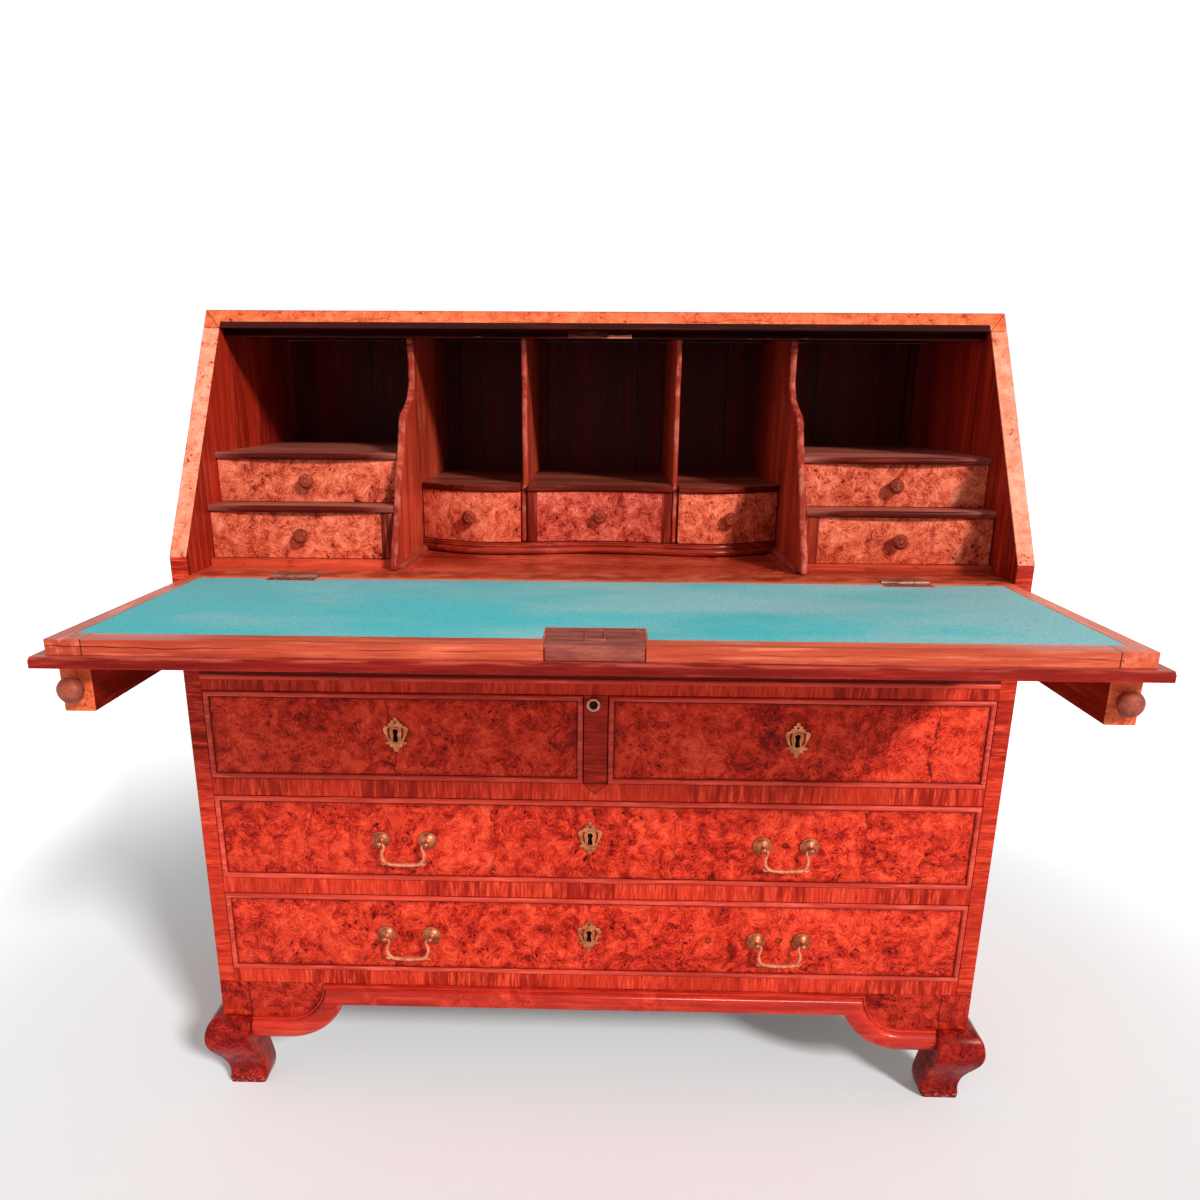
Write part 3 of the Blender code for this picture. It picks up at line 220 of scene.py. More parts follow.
def burl_figure(place, tones, start, fineness=1.0):
    """Burr walnut: fine curls and growth lines in drifting clouds, and groves of small dark pin knots."""
    spot = moved(place, start)
    loose = curled(spot, 15.0 * fineness, 0.046 / fineness)
    tight = curled(loose, 60.0 * fineness, 0.016 / fineness)
    drift = cloud(loose, 9.0 * fineness, 3.0, 0.55)
    mottle = cloud(tight, 44.0 * fineness, 5.0, 0.66)
    swell = cloud(tight, 17.0 * fineness, 2.0)
    lines = (swell * 190.0).through("SINE") * 0.5 + 0.5
    fine = cloud(tight, 210.0 * fineness, 4.0, 0.72)
    cells = tight.node("ShaderNodeTexVoronoi", {"Vector": tight, "Scale": 70.0 * fineness})
    grove = over(cloud(spot, 12.0 * fineness, 2.0), 0.47, 0.60)
    knots = over(cells, 0.24, 0.08) * grove
    rings = ((cells * 34.0).through("COSINE") * 0.5 + 0.5) * over(cells, 0.55, 0.25) * grove
    value = drift * 0.40 + mottle * 0.95 + lines * 0.13 + fine * 0.42 - knots * 0.30 - rings * 0.12 - 0.465
    stops = [(share, stain(*tint)) for share, tint in zip((0.18, 0.35, 0.53, 0.78), tones)]
    tone = value.node("ShaderNodeValToRGB", {0: value}, {"stops": stops})
    return tone, lines * 0.2 + fine * 0.3 - knots * 0.5


def polish(made, tone, rough, relief, strength, depth, fixed):
    """End a finish: its colour, roughness and relief vary over the piece, the fixed values don't."""
    tree = made.node_tree
    shader = tree.nodes["Principled BSDF"]
    bump = relief.node("ShaderNodeBump", {"Strength": strength, "Distance": depth, "Height": relief})
    for name, varying in (("Base Color", tone), ("Roughness", rough), ("Normal", bump)):
        tree.links.new(varying.socket, shader.inputs[name])
    for name, value in fixed.items():
        shader.inputs[name].default_value = value
    return made


def seal(made, tone, relief, gloss, coat=0.04):
    """Shellac over the wood: its gloss wanders, and the relief of the grain shows through it."""
    wander = cloud(surface(made.node_tree), 16.0, 3.0)
    rough = wander * 0.16 + relief * 0.03 + (gloss - 0.08)
    fixed = {"Specular IOR Level": 0.12, "Specular Tint": (1.0, 0.5, 0.4, 1.0),
             "Coat Weight": coat, "Coat Roughness": 0.22}
    return polish(made, tone, rough, relief, 0.55, 0.00025, fixed)


def plain_walnut(name, along, tones, gloss, coat=0.04, fineness=1.0):
    """Straight-grained walnut with nothing else to it."""
    made, place = begin(name)
    grain = straight_grain(place, along, tones, fineness)
    return seal(made, grain[0], grain[1], gloss, coat)


def soften(names, made, rounding, segments=2, plain=True):
    """Pieces of the frame that are right as they are: their arrises are eased and they are polished."""
    for name in names:
        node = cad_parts[name]
        node.material_slots[0].material = made
        weld = node.modifiers.new("glued", "WELD")
        weld.merge_threshold = 0.00001
        if plain:
            plane = node.modifiers.new("planed", "DECIMATE")
            plane.decimate_type = "DISSOLVE"
            plane.angle_limit = math.radians(0.5)
        bevel = node.modifiers.new("eased", "BEVEL")
        bevel.width = rounding
        bevel.segments = segments
        bevel.limit_method = "ANGLE"
        bevel.angle_limit = math.radians(38.0)
        node.modifiers.new("even", "WEIGHTED_NORMAL")


red_burl = ((62, 4, 4), (148, 22, 13), (212, 56, 34), (246, 96, 62))
orange_burl = ((120, 34, 20), (204, 84, 48), (234, 112, 68), (246, 142, 96))
band_tones = ((138, 22, 12), (204, 54, 33), (234, 88, 58))
red_straight = ((116, 18, 10), (190, 48, 28), (220, 80, 52))
# The orange burl of the sloping edges, toned paler than it is: painted light for the light that falls on
# them.
slope_burl_and_painted_light = ((150, 58, 40), (232, 124, 92), (246, 154, 122), (252, 176, 148))


def framed(field, border, rim, width):
    """A field of veneer in a border of that width, with a dark line where they meet."""
    tone = blend(over(rim, width, width - 0.0004), field, border)
    return blend(over(abs(rim - (width - 0.0001)), 0.0011, 0.0006), tone, red_burl[0])


def side_finish(name, start):
    made, place = begin(name)
    across, back, height = axes(place)
    inside = straight_grain(place, 2, red_straight)
    panel = burl_figure(scaled(place, (1.0, 1.0, 0.7)), red_burl, start, 1.2)
    border = cross_band(place, 2, band_tones)
    edge = burl_figure(place, slope_burl_and_painted_light, start, 1.6)
    to_slope = (height - top_height) * -math.cos(slope) + (back - slope_back) * math.sin(slope)
    rim = least(least(back, carcase_back - back), least(height - base_height, to_slope))
    outer = over(abs(across), half_width - 0.0015, half_width - 0.0005)
    tone = blend(outer, inside[0], framed(panel[0], border[0], rim, 0.0290))
    on_slope = over(to_slope, 0.0012, 0.0006) * over(height, 0.700, 0.702)
    on_front = over(back, 0.0014, 0.0007)
    tone = blend(on_front, tone, border[0])
    tone = blend(on_slope, tone, edge[0])
    tone = blend(over(rim, 0.010, 0.0) * outer * 0.35, tone, red_burl[0])
    return seal(made, tone, panel[1] * outer + inside[1] * (1 - outer), 0.36)


soften(["side_left"], side_finish("side_left_walnut", (0.3, 0.1, 0.7)), 0.0010)
soften(["side_right"], side_finish("side_right_walnut", (1.9, 0.6, 0.2)), 0.0010)


# The top board, dovetailed over the sides: orange burl in a cross-grain border above, a band of burl
# with old cracks along its sloping front edge, and walnut painted near black below it and on the rail
# that stops the fall, as painted shade under the top.
made, place = begin("top_walnut")
across, back, height = axes(place)
field = burl_figure(place, orange_burl, (0.7, 2.1, 0.4), 1.2)
front_band = burl_figure(place, orange_burl, (2.3, 0.9, 1.4), 1.6)
border_long = cross_band(place, 0, band_tones)
border_short = cross_band(place, 1, band_tones)
from_end = half_width - abs(across)
from_edge = least(back - slope_back, carcase_back - back)
corner = over(from_end - from_edge, 0.0004, -0.0004)
border = blend(corner, border_long[0], border_short[0])
tone = framed(field[0], border, least(from_end, from_edge), 0.0310)
on_top = over(height, top_height - 0.0012, top_height - 0.0006)
below_top = top_height - height
mitre_line = over(abs(from_end - below_top * 0.91), 0.0007, 0.0003) * over(from_end, 0.0205, 0.0200)
along_edge = scaled(place, (0.3, 1.0, 1.0))
crack = over(abs(below_top - 0.012 + (cloud(along_edge, 40.0, 3.0) - 0.5) * 0.02), 0.0007, 0.0002)
crack = crack * over(cloud(along_edge, 16.0, 1.0), 0.50, 0.60)
edge = blend(mitre_line * 0.85, front_band[0], (70, 16, 10))
edge = blend(crack * 0.7, edge, (96, 26, 15))
tone = blend(on_top, edge, tone)
# Below the front band and on the stop rail the walnut is painted near black: painted shade under the top.
walnut_painted_shade = straight_grain(place, 0, ((34, 6, 5), (62, 14, 10), (88, 26, 19)))
scuffed = over(cloud(scaled(place, (0.25, 1.0, 1.0)), 220.0, 3.0), 0.62, 0.72) * over(height, 0.978, 0.975)
below = blend(scuffed * 0.6, walnut_painted_shade[0], (150, 84, 72))
between = over(abs(across), 0.4800, 0.4796) * over(back, 0.5040, 0.5030)
tone = blend(over(height, 0.9922, 0.9917) * between, tone, below)
soften(["top_board"], seal(made, tone, field[1], 0.36), 0.0012)


# The keeper for the bolt of the fall lock: a small iron plate let into the stop rail under the top,
# with a slot for the bolt. Along its lower edge on the right it is rubbed bright.
def settle(form, name, made, body, slot, *nodes):
    """Finish a piece: it is set behind the carcase front, polished, and goes with its body."""
    bmesh.ops.translate(form, vec=(0.0, front, 0.0), verts=form.verts)
    bmesh.ops.recalc_face_normals(form, faces=form.faces)
    mesh = bpy.data.meshes.new(name)
    form.to_mesh(mesh)
    form.free()
    mesh.shade_smooth()
    mesh.set_sharp_from_angle(angle=math.radians(32.0))
    mesh.materials.append(made)
    piece = bpy.data.objects.new(name, mesh)
    bpy.context.scene.collection.objects.link(piece)
    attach(piece, body)
    if nodes:
        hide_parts(*nodes)
    return piece


def block(form, low, high):
    """A squared piece between two corners."""
    low, high = Vector(low), Vector(high)
    made = bmesh.ops.create_cube(form, size=1.0)["verts"]
    bmesh.ops.scale(form, vec=high - low, verts=made)
    bmesh.ops.translate(form, vec=(low + high) / 2, verts=made)


def ease(form, edges, width, segments=2):
    bmesh.ops.bevel(form, geom=edges, offset=width, offset_type="OFFSET", affect="EDGES",
                    segments=segments, profile=0.5, material=-1, clamp_overlap=True)


def inset(form, faces, wide, deep=0.0):
    bmesh.ops.inset_region(form, faces=faces, thickness=wide, depth=deep, use_boundary=True,
                           use_even_offset=True)


def metal(name, dull, bright, dark, gloss, metallic, drawn):
    """Old metal: rubbed bright and dark with tarnish in patches, finely scratched."""
    made, place = begin(name)
    patches = cloud(scaled(place, drawn), 95.0, 4.0, 0.6)
    specks = cloud(scaled(place, drawn), 600.0, 3.0, 0.6)
    scratches = cloud(scaled(place, drawn), 1600.0, 2.0)
    tone = blend(over(patches, 0.36, 0.64), dull, bright)
    tone = blend(over(specks * 0.6 + patches * 0.4, 0.54, 0.68) * 0.75, tone, dark)
    rough = specks * 0.22 + scratches * 0.10 + (gloss - 0.16)
    return polish(made, tone, rough, specks * 0.7 + scratches * 0.3, 0.35, 0.0002, {"Metallic": metallic})


iron = metal("old_iron", (128, 54, 44), (172, 86, 70), (70, 24, 20), 0.50, 0.45, (0.22, 1.0, 1.0))
made, place = begin("keeper_iron")
across, height = axes(place)[::2]
rust = cloud(scaled(place, (0.3, 1.0, 1.0)), 260.0, 4.0, 0.6)
tone = blend(over(rust, 0.38, 0.62), (66, 22, 17), (122, 54, 44))
worn = over(across + (rust - 0.5) * 0.03, 0.001, 0.010) * over(height + (rust - 0.5) * 0.004, 0.9790, 0.9780)
tone = blend(worn * 0.85, tone, (224, 132, 112))
# The slot is painted near black: painted shade in it.
slot_painted_shade = over(abs(across - 0.0220), 0.0143, 0.0138) * over(abs(height - 0.9803), 0.0018, 0.0015)
tone = blend(slot_painted_shade, tone, (8, 2, 2))
seal(made, tone, rust, 0.5, coat=0.0)
form = bmesh.new()
block(form, (-0.0425, -0.0005, 0.0004), (0.0380, 0.0006, 0.0112))
ease(form, form.edges[:], 0.0003)
slot_low, slot_high = Vector((0.008, 0.0, 0.0056)), Vector((0.036, 0.0, 0.0096))
for corner in (slot_low, slot_high):
    for way in ((1, 0, 0), (0, 0, 1)):
        parts = form.verts[:] + form.edges[:] + form.faces[:]
        bmesh.ops.bisect_plane(form, geom=parts, dist=0.000001, plane_co=corner, plane_no=way)
facing = [face for face in form.faces if face.normal.y < -0.9]
middle = (slot_low + slot_high) / 2
slot = min(facing, key=lambda face: (face.calc_center_median() - middle).length)
inset(form, [slot], 0.00005, -0.0008)
lean = Matrix.Translation((0.0, 0.1976, 0.9742)) @ Matrix.Rotation(slope - math.pi / 2, 4, "X")
bmesh.ops.transform(form, matrix=lean, verts=form.verts)
settle(form, "bolt_keeper", made, "carcase", "iron")


# The back: upright boards of plain walnut, painted dark towards the writing part as painted shade, slid
# in behind the sides. Each board has its own tone, and the joints between them have opened a little.
made, place = begin("back_boards")
across, back = axes(place)[:2]
boards = (across + 2.0) * 7.3
chance = by_lot(boards)
shifted = moved(place, place.node("ShaderNodeCombineXYZ", {2: chance * 3.0}))
# The inner face is painted dark: painted shade.
grain = straight_grain(shifted, 2, ((58, 7, 5), (104, 20, 13), (128, 34, 22)))
tone = blend(chance * 0.35, grain[0], (66, 9, 6))
bare = straight_grain(shifted, 2, ((92, 46, 26), (146, 84, 52), (172, 110, 74)))
bare = blend(chance * 0.45, bare[0], (112, 62, 38))
tone = blend(over(back, 0.500, 0.501), tone, bare)
joint = abs(boards.through("FRACT") - 0.5)
tone = blend(over(joint, 0.486, 0.494), tone, (16, 3, 2))
soften(["back_panel"], seal(made, tone, grain[1], 0.52), 0.0006)


# The bottom and the two boards between the drawers. What shows is the front edge of each, a rail
# cross-banded with short lengths of walnut; the banding of the post is let into the middle one in a
# point. The boards behind are plain and dusty.
post_tones = ((112, 18, 10), (172, 42, 25), (204, 68, 44))


def rail_finish(name, start):
    made, place = begin(name)
    across, back, height = axes(place)
    band = cross_band(moved(place, start), 0, band_tones)
    post = cross_band(place, 2, post_tones)
    side = abs(across) - (height - 0.4370) * 1.1
    tone = blend(over(side, 0.0003, -0.0003), band[0], post[0])
    tone = blend(over(abs(side), 0.0007, 0.0003), tone, post_tones[0])
    on_rail = over(abs(height - 0.4395), 0.0120, 0.0115) * over(abs(across), 0.0160, 0.0155)
    tone = blend(on_rail, band[0], tone)
    bare = straight_grain(place, 0, ((84, 34, 20), (124, 58, 37), (146, 78, 52)))
    tone = blend(over(back, 0.0020, 0.0030), tone, bare[0])
    return seal(made, tone, band[1], 0.36)


soften(["bottom_board"], rail_finish("bottom_rail_walnut", (0.13, 0.0, 0.0)), 0.0007)
soften(["dust_board_lower"], rail_finish("lower_rail_walnut", (0.71, 0.0, 0.0)), 0.0007)
soften(["dust_board_middle"], rail_finish("middle_rail_walnut", (1.37, 0.0, 0.0)), 0.0007)


# The post between the two short drawers, with the guide behind it: walnut banded across, let into the
# rails above and below. Its only handle is a small turned peg with a bone ring round a dark hollow.
made, place = begin("post_walnut")
band = cross_band(place, 2, post_tones, 0.061)
soften(["drawer_divider"], seal(made, band[0], band[1], 0.36), 0.0007)


def turned(form, line, centre, steps=28):
    """A piece turned on a lathe, its line given from tip to root as (radius, reach to the front)."""
    rim = [form.verts.new(Vector(centre) + Vector((radius, -reach, 0.0))) for radius, reach in line]
    edges = [form.edges.new(pair) for pair in zip(rim, rim[1:])]
    bmesh.ops.spin(form, geom=rim + edges, cent=centre, axis=(0.0, 1.0, 0.0), angle=2 * math.pi,
                   steps=steps, use_merge=True)
    bmesh.ops.remove_doubles(form, verts=form.verts, dist=0.000002)


peg_place = (-0.003, 0.0, 0.5555)
made, place = begin("peg_bone")
streak = cloud(scaled(place, (1.0, 0.2, 1.0)), 700.0, 3.0)
tone = blend(over(streak, 0.44, 0.70), (238, 206, 180), (186, 132, 100))
across, back, height = axes(moved(place, [-value for value in peg_place]))
reach = (across * across + height * height).through("SQRT")
tone = blend(over(reach, 0.0054, 0.0048), tone, (44, 8, 6))
tone = blend(over(back, -0.0064, -0.0056), tone, (70, 16, 11))
seal(made, tone, streak, 0.40)
form = bmesh.new()
turned(form, [(0.0, 0.0062), (0.0036, 0.0066), (0.0050, 0.0082), (0.0056, 0.0112), (0.0066, 0.0122),
              (0.0077, 0.0116), (0.0082, 0.0098), (0.0076, 0.0074), (0.0056, 0.0056), (0.0046, 0.0040),
              (0.0054, 0.0028), (0.0060, 0.0014), (0.0060, 0.0002), (0.0, 0.0002)], peg_place)
settle(form, "post_peg", made, "carcase", "inner_walnut")


# The tray under the writing bed: upper rail, frieze front, and the guides and bearers of the lopers.
# Its rail is cross-banded, the frieze behind is walnut painted near black as painted shade, and a bead
# runs along the top of the rail.
made, place = begin("tray_walnut")
back, height = axes(place)[1:]
band = cross_band(moved(place, (2.2, 0.0, 0.0)), 0, band_tones)
# The frieze under the open fall is painted near black: painted shade.
frieze = straight_grain(place, 0, ((60, 10, 6), (104, 24, 13), (130, 40, 24)))
tone = blend(over(height, 0.5846, 0.5852), band[0], frieze[0])
bare = straight_grain(place, 0, ((70, 26, 16), (108, 50, 32), (128, 68, 46)))
tone = blend(over(back, 0.0190, 0.0200), tone, bare[0])
soften(["well_tray"], seal(made, tone, band[1], 0.38), 0.0007, plain=False)


def only(items, kind):
    return [item for item in items if isinstance(item, kind)]


def run_moulding(form, section, stations):
    """A moulding: its closed section stands at the first station and is drawn from each to the next."""
    loop = [form.verts.new(stations[0] @ Vector(point)) for point in section]
    edges = [form.edges.new(pair) for pair in zip(loop, loop[1:] + loop[:1])]
    ends = [list(edges)]
    for before, after in zip(stations, stations[1:]):
        drawn = bmesh.ops.extrude_edge_only(form, edges=edges)["geom"]
        edges = only(drawn, bmesh.types.BMEdge)
        bmesh.ops.transform(form, matrix=after @ before.inverted(), verts=only(drawn, bmesh.types.BMVert))
    for end in ends + [edges]:
        bmesh.ops.edgeloop_fill(form, edges=end)


bead_tones = ((166, 44, 32), (226, 80, 61), (246, 118, 96))
bead_walnut = plain_walnut("bead_walnut", 0, bead_tones, 0.34, 0.18, 1.4)
bead = [(0.0, 0.0016, -0.0030), (0.0, -0.0006, -0.0030), (0.0, -0.0022, -0.0022), (0.0, -0.0030, -0.0006),
        (0.0, -0.0030, 0.0008), (0.0, -0.0022, 0.0024), (0.0, -0.0006, 0.0032), (0.0, 0.0016, 0.0032)]
form = bmesh.new()
run_moulding(form, bead, [Matrix.Translation((across, 0.0, 0.5820)) for across in (-0.4797, 0.4797)])
settle(form, "rail_bead", bead_walnut, "carcase", "straight_walnut")


# The writing bed: a walnut board across the carcase, its front edge lighter from wear, with raised
# bases for the two banks of drawers and the run of the sliding cover over the well.
made, place = begin("bed_walnut")
back = axes(place)[1]
grain = straight_grain(place, 0, ((140, 36, 21), (208, 78, 50), (232, 114, 82)))
worn = blend(over(cloud(place, 40.0, 4.0), 0.40, 0.66), (150, 48, 26), (212, 112, 78))
tone = blend(over(back, 0.052, 0.046) * 0.55, grain[0], worn)
scuff = over(cloud(scaled(place, (0.25, 1.0, 1.0)), 180.0, 3.0), 0.60, 0.70)
tone = blend(scuff * 0.5, tone, (84, 20, 12))
soften(["writing_bed"], seal(made, tone, grain[1], 0.34), 0.0006, plain=False)


# The sliding cover of the well in the floor between the banks: a thin board of well-rubbed walnut with
# a finger notch, running back under the small drawers.
made, place = begin("well_cover_walnut")
cover_tones = ((110, 24, 14), (172, 50, 31), (210, 80, 52), (232, 116, 82))
field = burl_figure(scaled(place, (0.55, 1.0, 1.0)), cover_tones, (3.1, 0.4, 0.8), 0.7)
grain = straight_grain(place, 0, ((126, 28, 16), (190, 62, 38), (218, 94, 64)))
tone = blend(over(cloud(place, 6.0, 2.0), 0.42, 0.60), grain[0], field[0])
soften(["well_slide"], seal(made, tone, grain[1], 0.26, coat=0.25), 0.0004)


# The guide strips on the floor along both partitions: small quadrant mouldings of walnut, mitred in
# front and running back to the plinth of the small drawers.
strip = [(0.0, 0.0, 0.0), (0.0064, 0.0, 0.0), (0.0062, 0.0, 0.0018), (0.0050, 0.0, 0.0042),
         (0.0036, 0.0, 0.0050), (0.0028, 0.0, 0.0064), (0.0, 0.0, 0.0066)]
strip_tones = ((122, 36, 25), (186, 78, 58), (226, 130, 104))
made = plain_walnut("strip_walnut", 1, strip_tones, 0.32, fineness=1.3)
form = bmesh.new()
for side, sign in both:
    section = [(-sign * out, along, up) for out, along, up in strip]
    stations = [Matrix.Translation((sign * 0.2417, depth, 0.7042)) for depth in (0.0620, 0.2330)]
    run_moulding(form, section, stations)
settle(form, "floor_strips", made, "carcase", "inner_walnut")


# The base: a burl fascia cut in arches at its ends, rails along the sides and the back, and a
# half-round moulding with a small fillet, glued along the arches and mitred to the straight run.
made, place = begin("fascia_burl")
across = axes(place)[0]
figure = burl_figure(place, ((60, 5, 5), (122, 17, 10), (176, 42, 25), (210, 70, 43)),
                     (0.2, 1.2, 2.6), 1.6)
split = over(abs(abs(across) - 0.462 + (cloud(place, 60.0, 3.0) - 0.5) * 0.012), 0.0010, 0.0004)
tone = blend(split * 0.8, figure[0], (48, 6, 4))
fascia_burl = seal(made, tone, figure[1], 0.36)


def draw_out(form, faces, thick):
    """Give flat faces their thickness."""
    drawn = bmesh.ops.extrude_face_region(form, geom=faces)["geom"]
    bmesh.ops.translate(form, vec=thick, verts=only(drawn, bmesh.types.BMVert))


def slab(form, points, thick):
    """A flat outline sawn from board."""
    draw_out(form, [form.faces.new([form.verts.new(point) for point in points])], thick)


arch_x, arch_z, arch_inner, arch_outer = 0.411, 0.159, 0.051, 0.082
arch_steps = 20
mitre = math.asin((arch_outer - arch_inner) / arch_outer)
half = [(0.4999, 0.1597), (0.4999, 0.1091), (0.4587, 0.1091)]
under = arch_outer - 0.004
under_mitre = math.asin((under - arch_inner) / under)
for step in range(arch_steps + 1):
    angle = math.pi / 2 + (under_mitre - math.pi / 2) * step / arch_steps
    half.append((arch_x - under * math.cos(angle), arch_z - under * math.sin(angle)))
outline = half + [(-across, up) for across, up in reversed(half)]
form = bmesh.new()
slab(form, [(across, 0.0002, up) for across, up in outline], (0.0, 0.0198, 0.0))
settle(form, "base_fascia", fascia_burl, "carcase", "burl_walnut", "base_frame")

form = bmesh.new()
for side, sign in both:
    low, high = sorted((sign * 0.4802, sign * 0.4997))
    block(form, (low, 0.0198, 0.1093), (high, carcase_back, 0.1594))
block(form, (-0.4800, 0.4850, 0.1100), (0.4800, 0.5047, 0.1587))
ease(form, form.edges[:], 0.0008)
made, place = begin("base_rail_walnut")
band = cross_band(place, 1, band_tones)
seal(made, band[0], band[1], 0.38)
settle(form, "base_rails", made, "carcase", "burl_walnut")

stations = []
pairs = [((0.4587, arch_z - arch_inner), (0.4587, arch_z - arch_outer))]
for step in range(arch_steps + 1):
    near = math.pi / 2 * (1 - step / arch_steps)
    far = math.pi / 2 + (mitre - math.pi / 2) * step / arch_steps
    pairs.append(((arch_x - arch_inner * math.cos(near), arch_z - arch_inner * math.sin(near)),
                  (arch_x - arch_outer * math.cos(far), arch_z - arch_outer * math.sin(far))))
pairs += [((-near[0], near[1]), (-far[0], far[1])) for near, far in reversed(pairs)]
for near, far in pairs:
    width = Vector((far[0] - near[0], 0.0, far[1] - near[1]))
    out = Vector((0.0, -0.0120, 0.0))
    station = Matrix((width, out, width.cross(out).normalized())).transposed().to_4x4()
    station.translation = (near[0], 0.0, near[1])
    stations.append(station)
torus = [(0.0, -0.10, 0.0), (0.0, 0.40, 0.0), (0.025, 0.47, 0.0), (0.075, 0.47, 0.0), (0.095, 0.40, 0.0),
         (0.10, 0.30, 0.0), (0.125, 0.52, 0.0), (0.17, 0.70, 0.0), (0.25, 0.87, 0.0), (0.36, 0.98, 0.0),
         (0.48, 1.0, 0.0), (0.61, 0.96, 0.0), (0.74, 0.86, 0.0), (0.85, 0.70, 0.0), (0.93, 0.50, 0.0),
         (0.98, 0.25, 0.0), (1.0, -0.10, 0.0)]
made, place = begin("moulding_walnut")
grain = straight_grain(place, 0, ((138, 20, 12), (200, 48, 32), (230, 88, 64)), 0.8)
figure = burl_figure(place, red_burl, (4.2, 0.2, 0.6), 1.3)
tone = blend(over(cloud(place, 9.0, 2.0), 0.46, 0.62) * 0.6, grain[0], figure[0])
seal(made, tone, grain[1], 0.30, coat=0.28)
form = bmesh.new()
run_moulding(form, torus, stations)
settle(form, "base_moulding", made, "carcase", "burl_walnut")


# The four ogee feet: blocks veneered with burl, swelling at the knee, drawn in at the ankle and worn
# at the toe, glued under the base. The rear ones are sawn off flat behind.
def flowing(points, steps):
    """A smooth run of points through the given ones."""
    run = []
    last = len(points) - 1
    for index in range(last):
        before = Vector(points[max(index - 1, 0)])
        start = Vector(points[index])
        end = Vector(points[index + 1])
        after = Vector(points[min(index + 2, last)])
        for step in range(steps):
            t = step / steps
            spot = 2 * start + (end - before) * t + (2 * before - 5 * start + 4 * end - after) * t * t
            spot += (3 * start - before - 3 * end + after) * t * t * t
            run.append(tuple(spot / 2))
    run.append(tuple(points[last]))
    return run


made, place = begin("foot_burl")
height = axes(place)[2]
figure = burl_figure(place, ((46, 3, 4), (96, 9, 8), (146, 24, 18), (190, 56, 42)),
                     (1.1, 0.3, 1.9), 1.6)
scar = over(height - (cloud(place, 150.0, 3.0) - 0.5) * 0.03, 0.016, 0.006)
tone = blend(scar * 0.5, figure[0], blend(over(cloud(place, 260.0, 3.0), 0.50, 0.66), (84, 18, 14),
                                          (206, 120, 96)))
seal(made, tone, figure[1] - scar, 0.32, coat=0.06)
ogee = flowing([(0.0060, 0.1087), (0.0128, 0.1060), (0.0184, 0.0990), (0.0216, 0.0880), (0.0222, 0.0760),
                (0.0196, 0.0650), (0.0138, 0.0540), (0.0072, 0.0430), (0.0022, 0.0310), (0.0000, 0.0180),
                (0.0010, 0.0070), (0.0002, 0.0)], 3)
lean_in = flowing([(0.0, 0.1087), (0.0, 0.0740), (0.0050, 0.0500), (0.0110, 0.0220), (0.0090, 0.0060),
                   (0.0060, 0.0)], 7)


def inner_line(height):
    """How far the inner face of a foot stands in at that height."""
    for (first, top), (second, low) in zip(lean_in, lean_in[1:]):
        if low <= height <= top:
            return first + (second - first) * (top - height) / (top - low)
    return lean_in[-1][0]


def sharp_edges(form, least_angle):
    """The edges where faces meet at more than that angle, once all faces look outwards."""
    bmesh.ops.recalc_face_normals(form, faces=form.faces)
    return [edge for edge in form.edges if edge.calc_face_angle(0.0) > least_angle]


foot_inner = 0.459
foot_depth = 0.041
rear_foot_front = 0.437
square = [(0.0, 0.0, 0.0), (1.0, 0.0, 0.0), (1.0, 1.0, 0.0), (0.0, 1.0, 0.0)]
for side, sign in both:
    for end in ("front", "rear"):
        stations = []
        for flare, up in ogee:
            near, far = (-flare, foot_depth) if end == "front" else (rear_foot_front, carcase_back)
            inner = foot_inner - inner_line(up)
            size = Matrix.Diagonal((sign * (half_width + flare - inner), far - near, 1.0, 1.0))
            stations.append(Matrix.Translation((sign * inner, near, up)) @ size)
        form = bmesh.new()
        run_moulding(form, square, stations)
        sharp = sharp_edges(form, 1.0)
        upright = [edge for edge in sharp if abs(edge.verts[0].co.z - edge.verts[1].co.z) > 0.0002]
        ease(form, upright, 0.0030, 3)
        settle(form, "foot_" + end + "_" + side + "_ogee", made, "carcase", "burl_walnut",
               "foot_" + end + "_" + side)


# The two lopers that carry the open fall: straight bars of walnut with burl on the front end, running
# in the tray under the bed. A round brass knob on a short neck is screwed into each front end.
made, place = begin("loper_walnut")
back = axes(place)[1]
face = burl_figure(place, orange_burl, (0.9, 0.9, 3.3), 1.5)
grain = straight_grain(place, 1, ((96, 18, 10), (150, 40, 22), (180, 66, 42)))
loper_reach = 0.318
tone = blend(over(back, 0.0015 - loper_reach, 0.0005 - loper_reach), grain[0], face[0])
soften(["loper_left", "loper_right"], seal(made, tone, grain[1], 0.38), 0.0010)
evenly = (1.0, 1.0, 1.0)
knob_brass = metal("knob_brass", (126, 50, 31), (164, 72, 46), (88, 34, 22), 0.58, 0.30, evenly)
for side, sign in both:
    form = bmesh.new()
    turned(form, [(0.0, 0.0200), (0.0030, 0.0199), (0.0064, 0.0192), (0.0094, 0.0176), (0.0113, 0.0152),
                  (0.0120, 0.0126), (0.0114, 0.0098), (0.0094, 0.0074), (0.0066, 0.0060), (0.0050, 0.0048),
                  (0.0046, 0.0034), (0.0060, 0.0026), (0.0078, 0.0018), (0.0078, 0.0003), (0.0, 0.0003)],
           (sign * 0.4645, -loper_reach, 0.6567), 36)
    settle(form, "loper_knob_" + side + "_turned", knob_brass, "loper_" + side, "brass", "loper_knob_" + side)


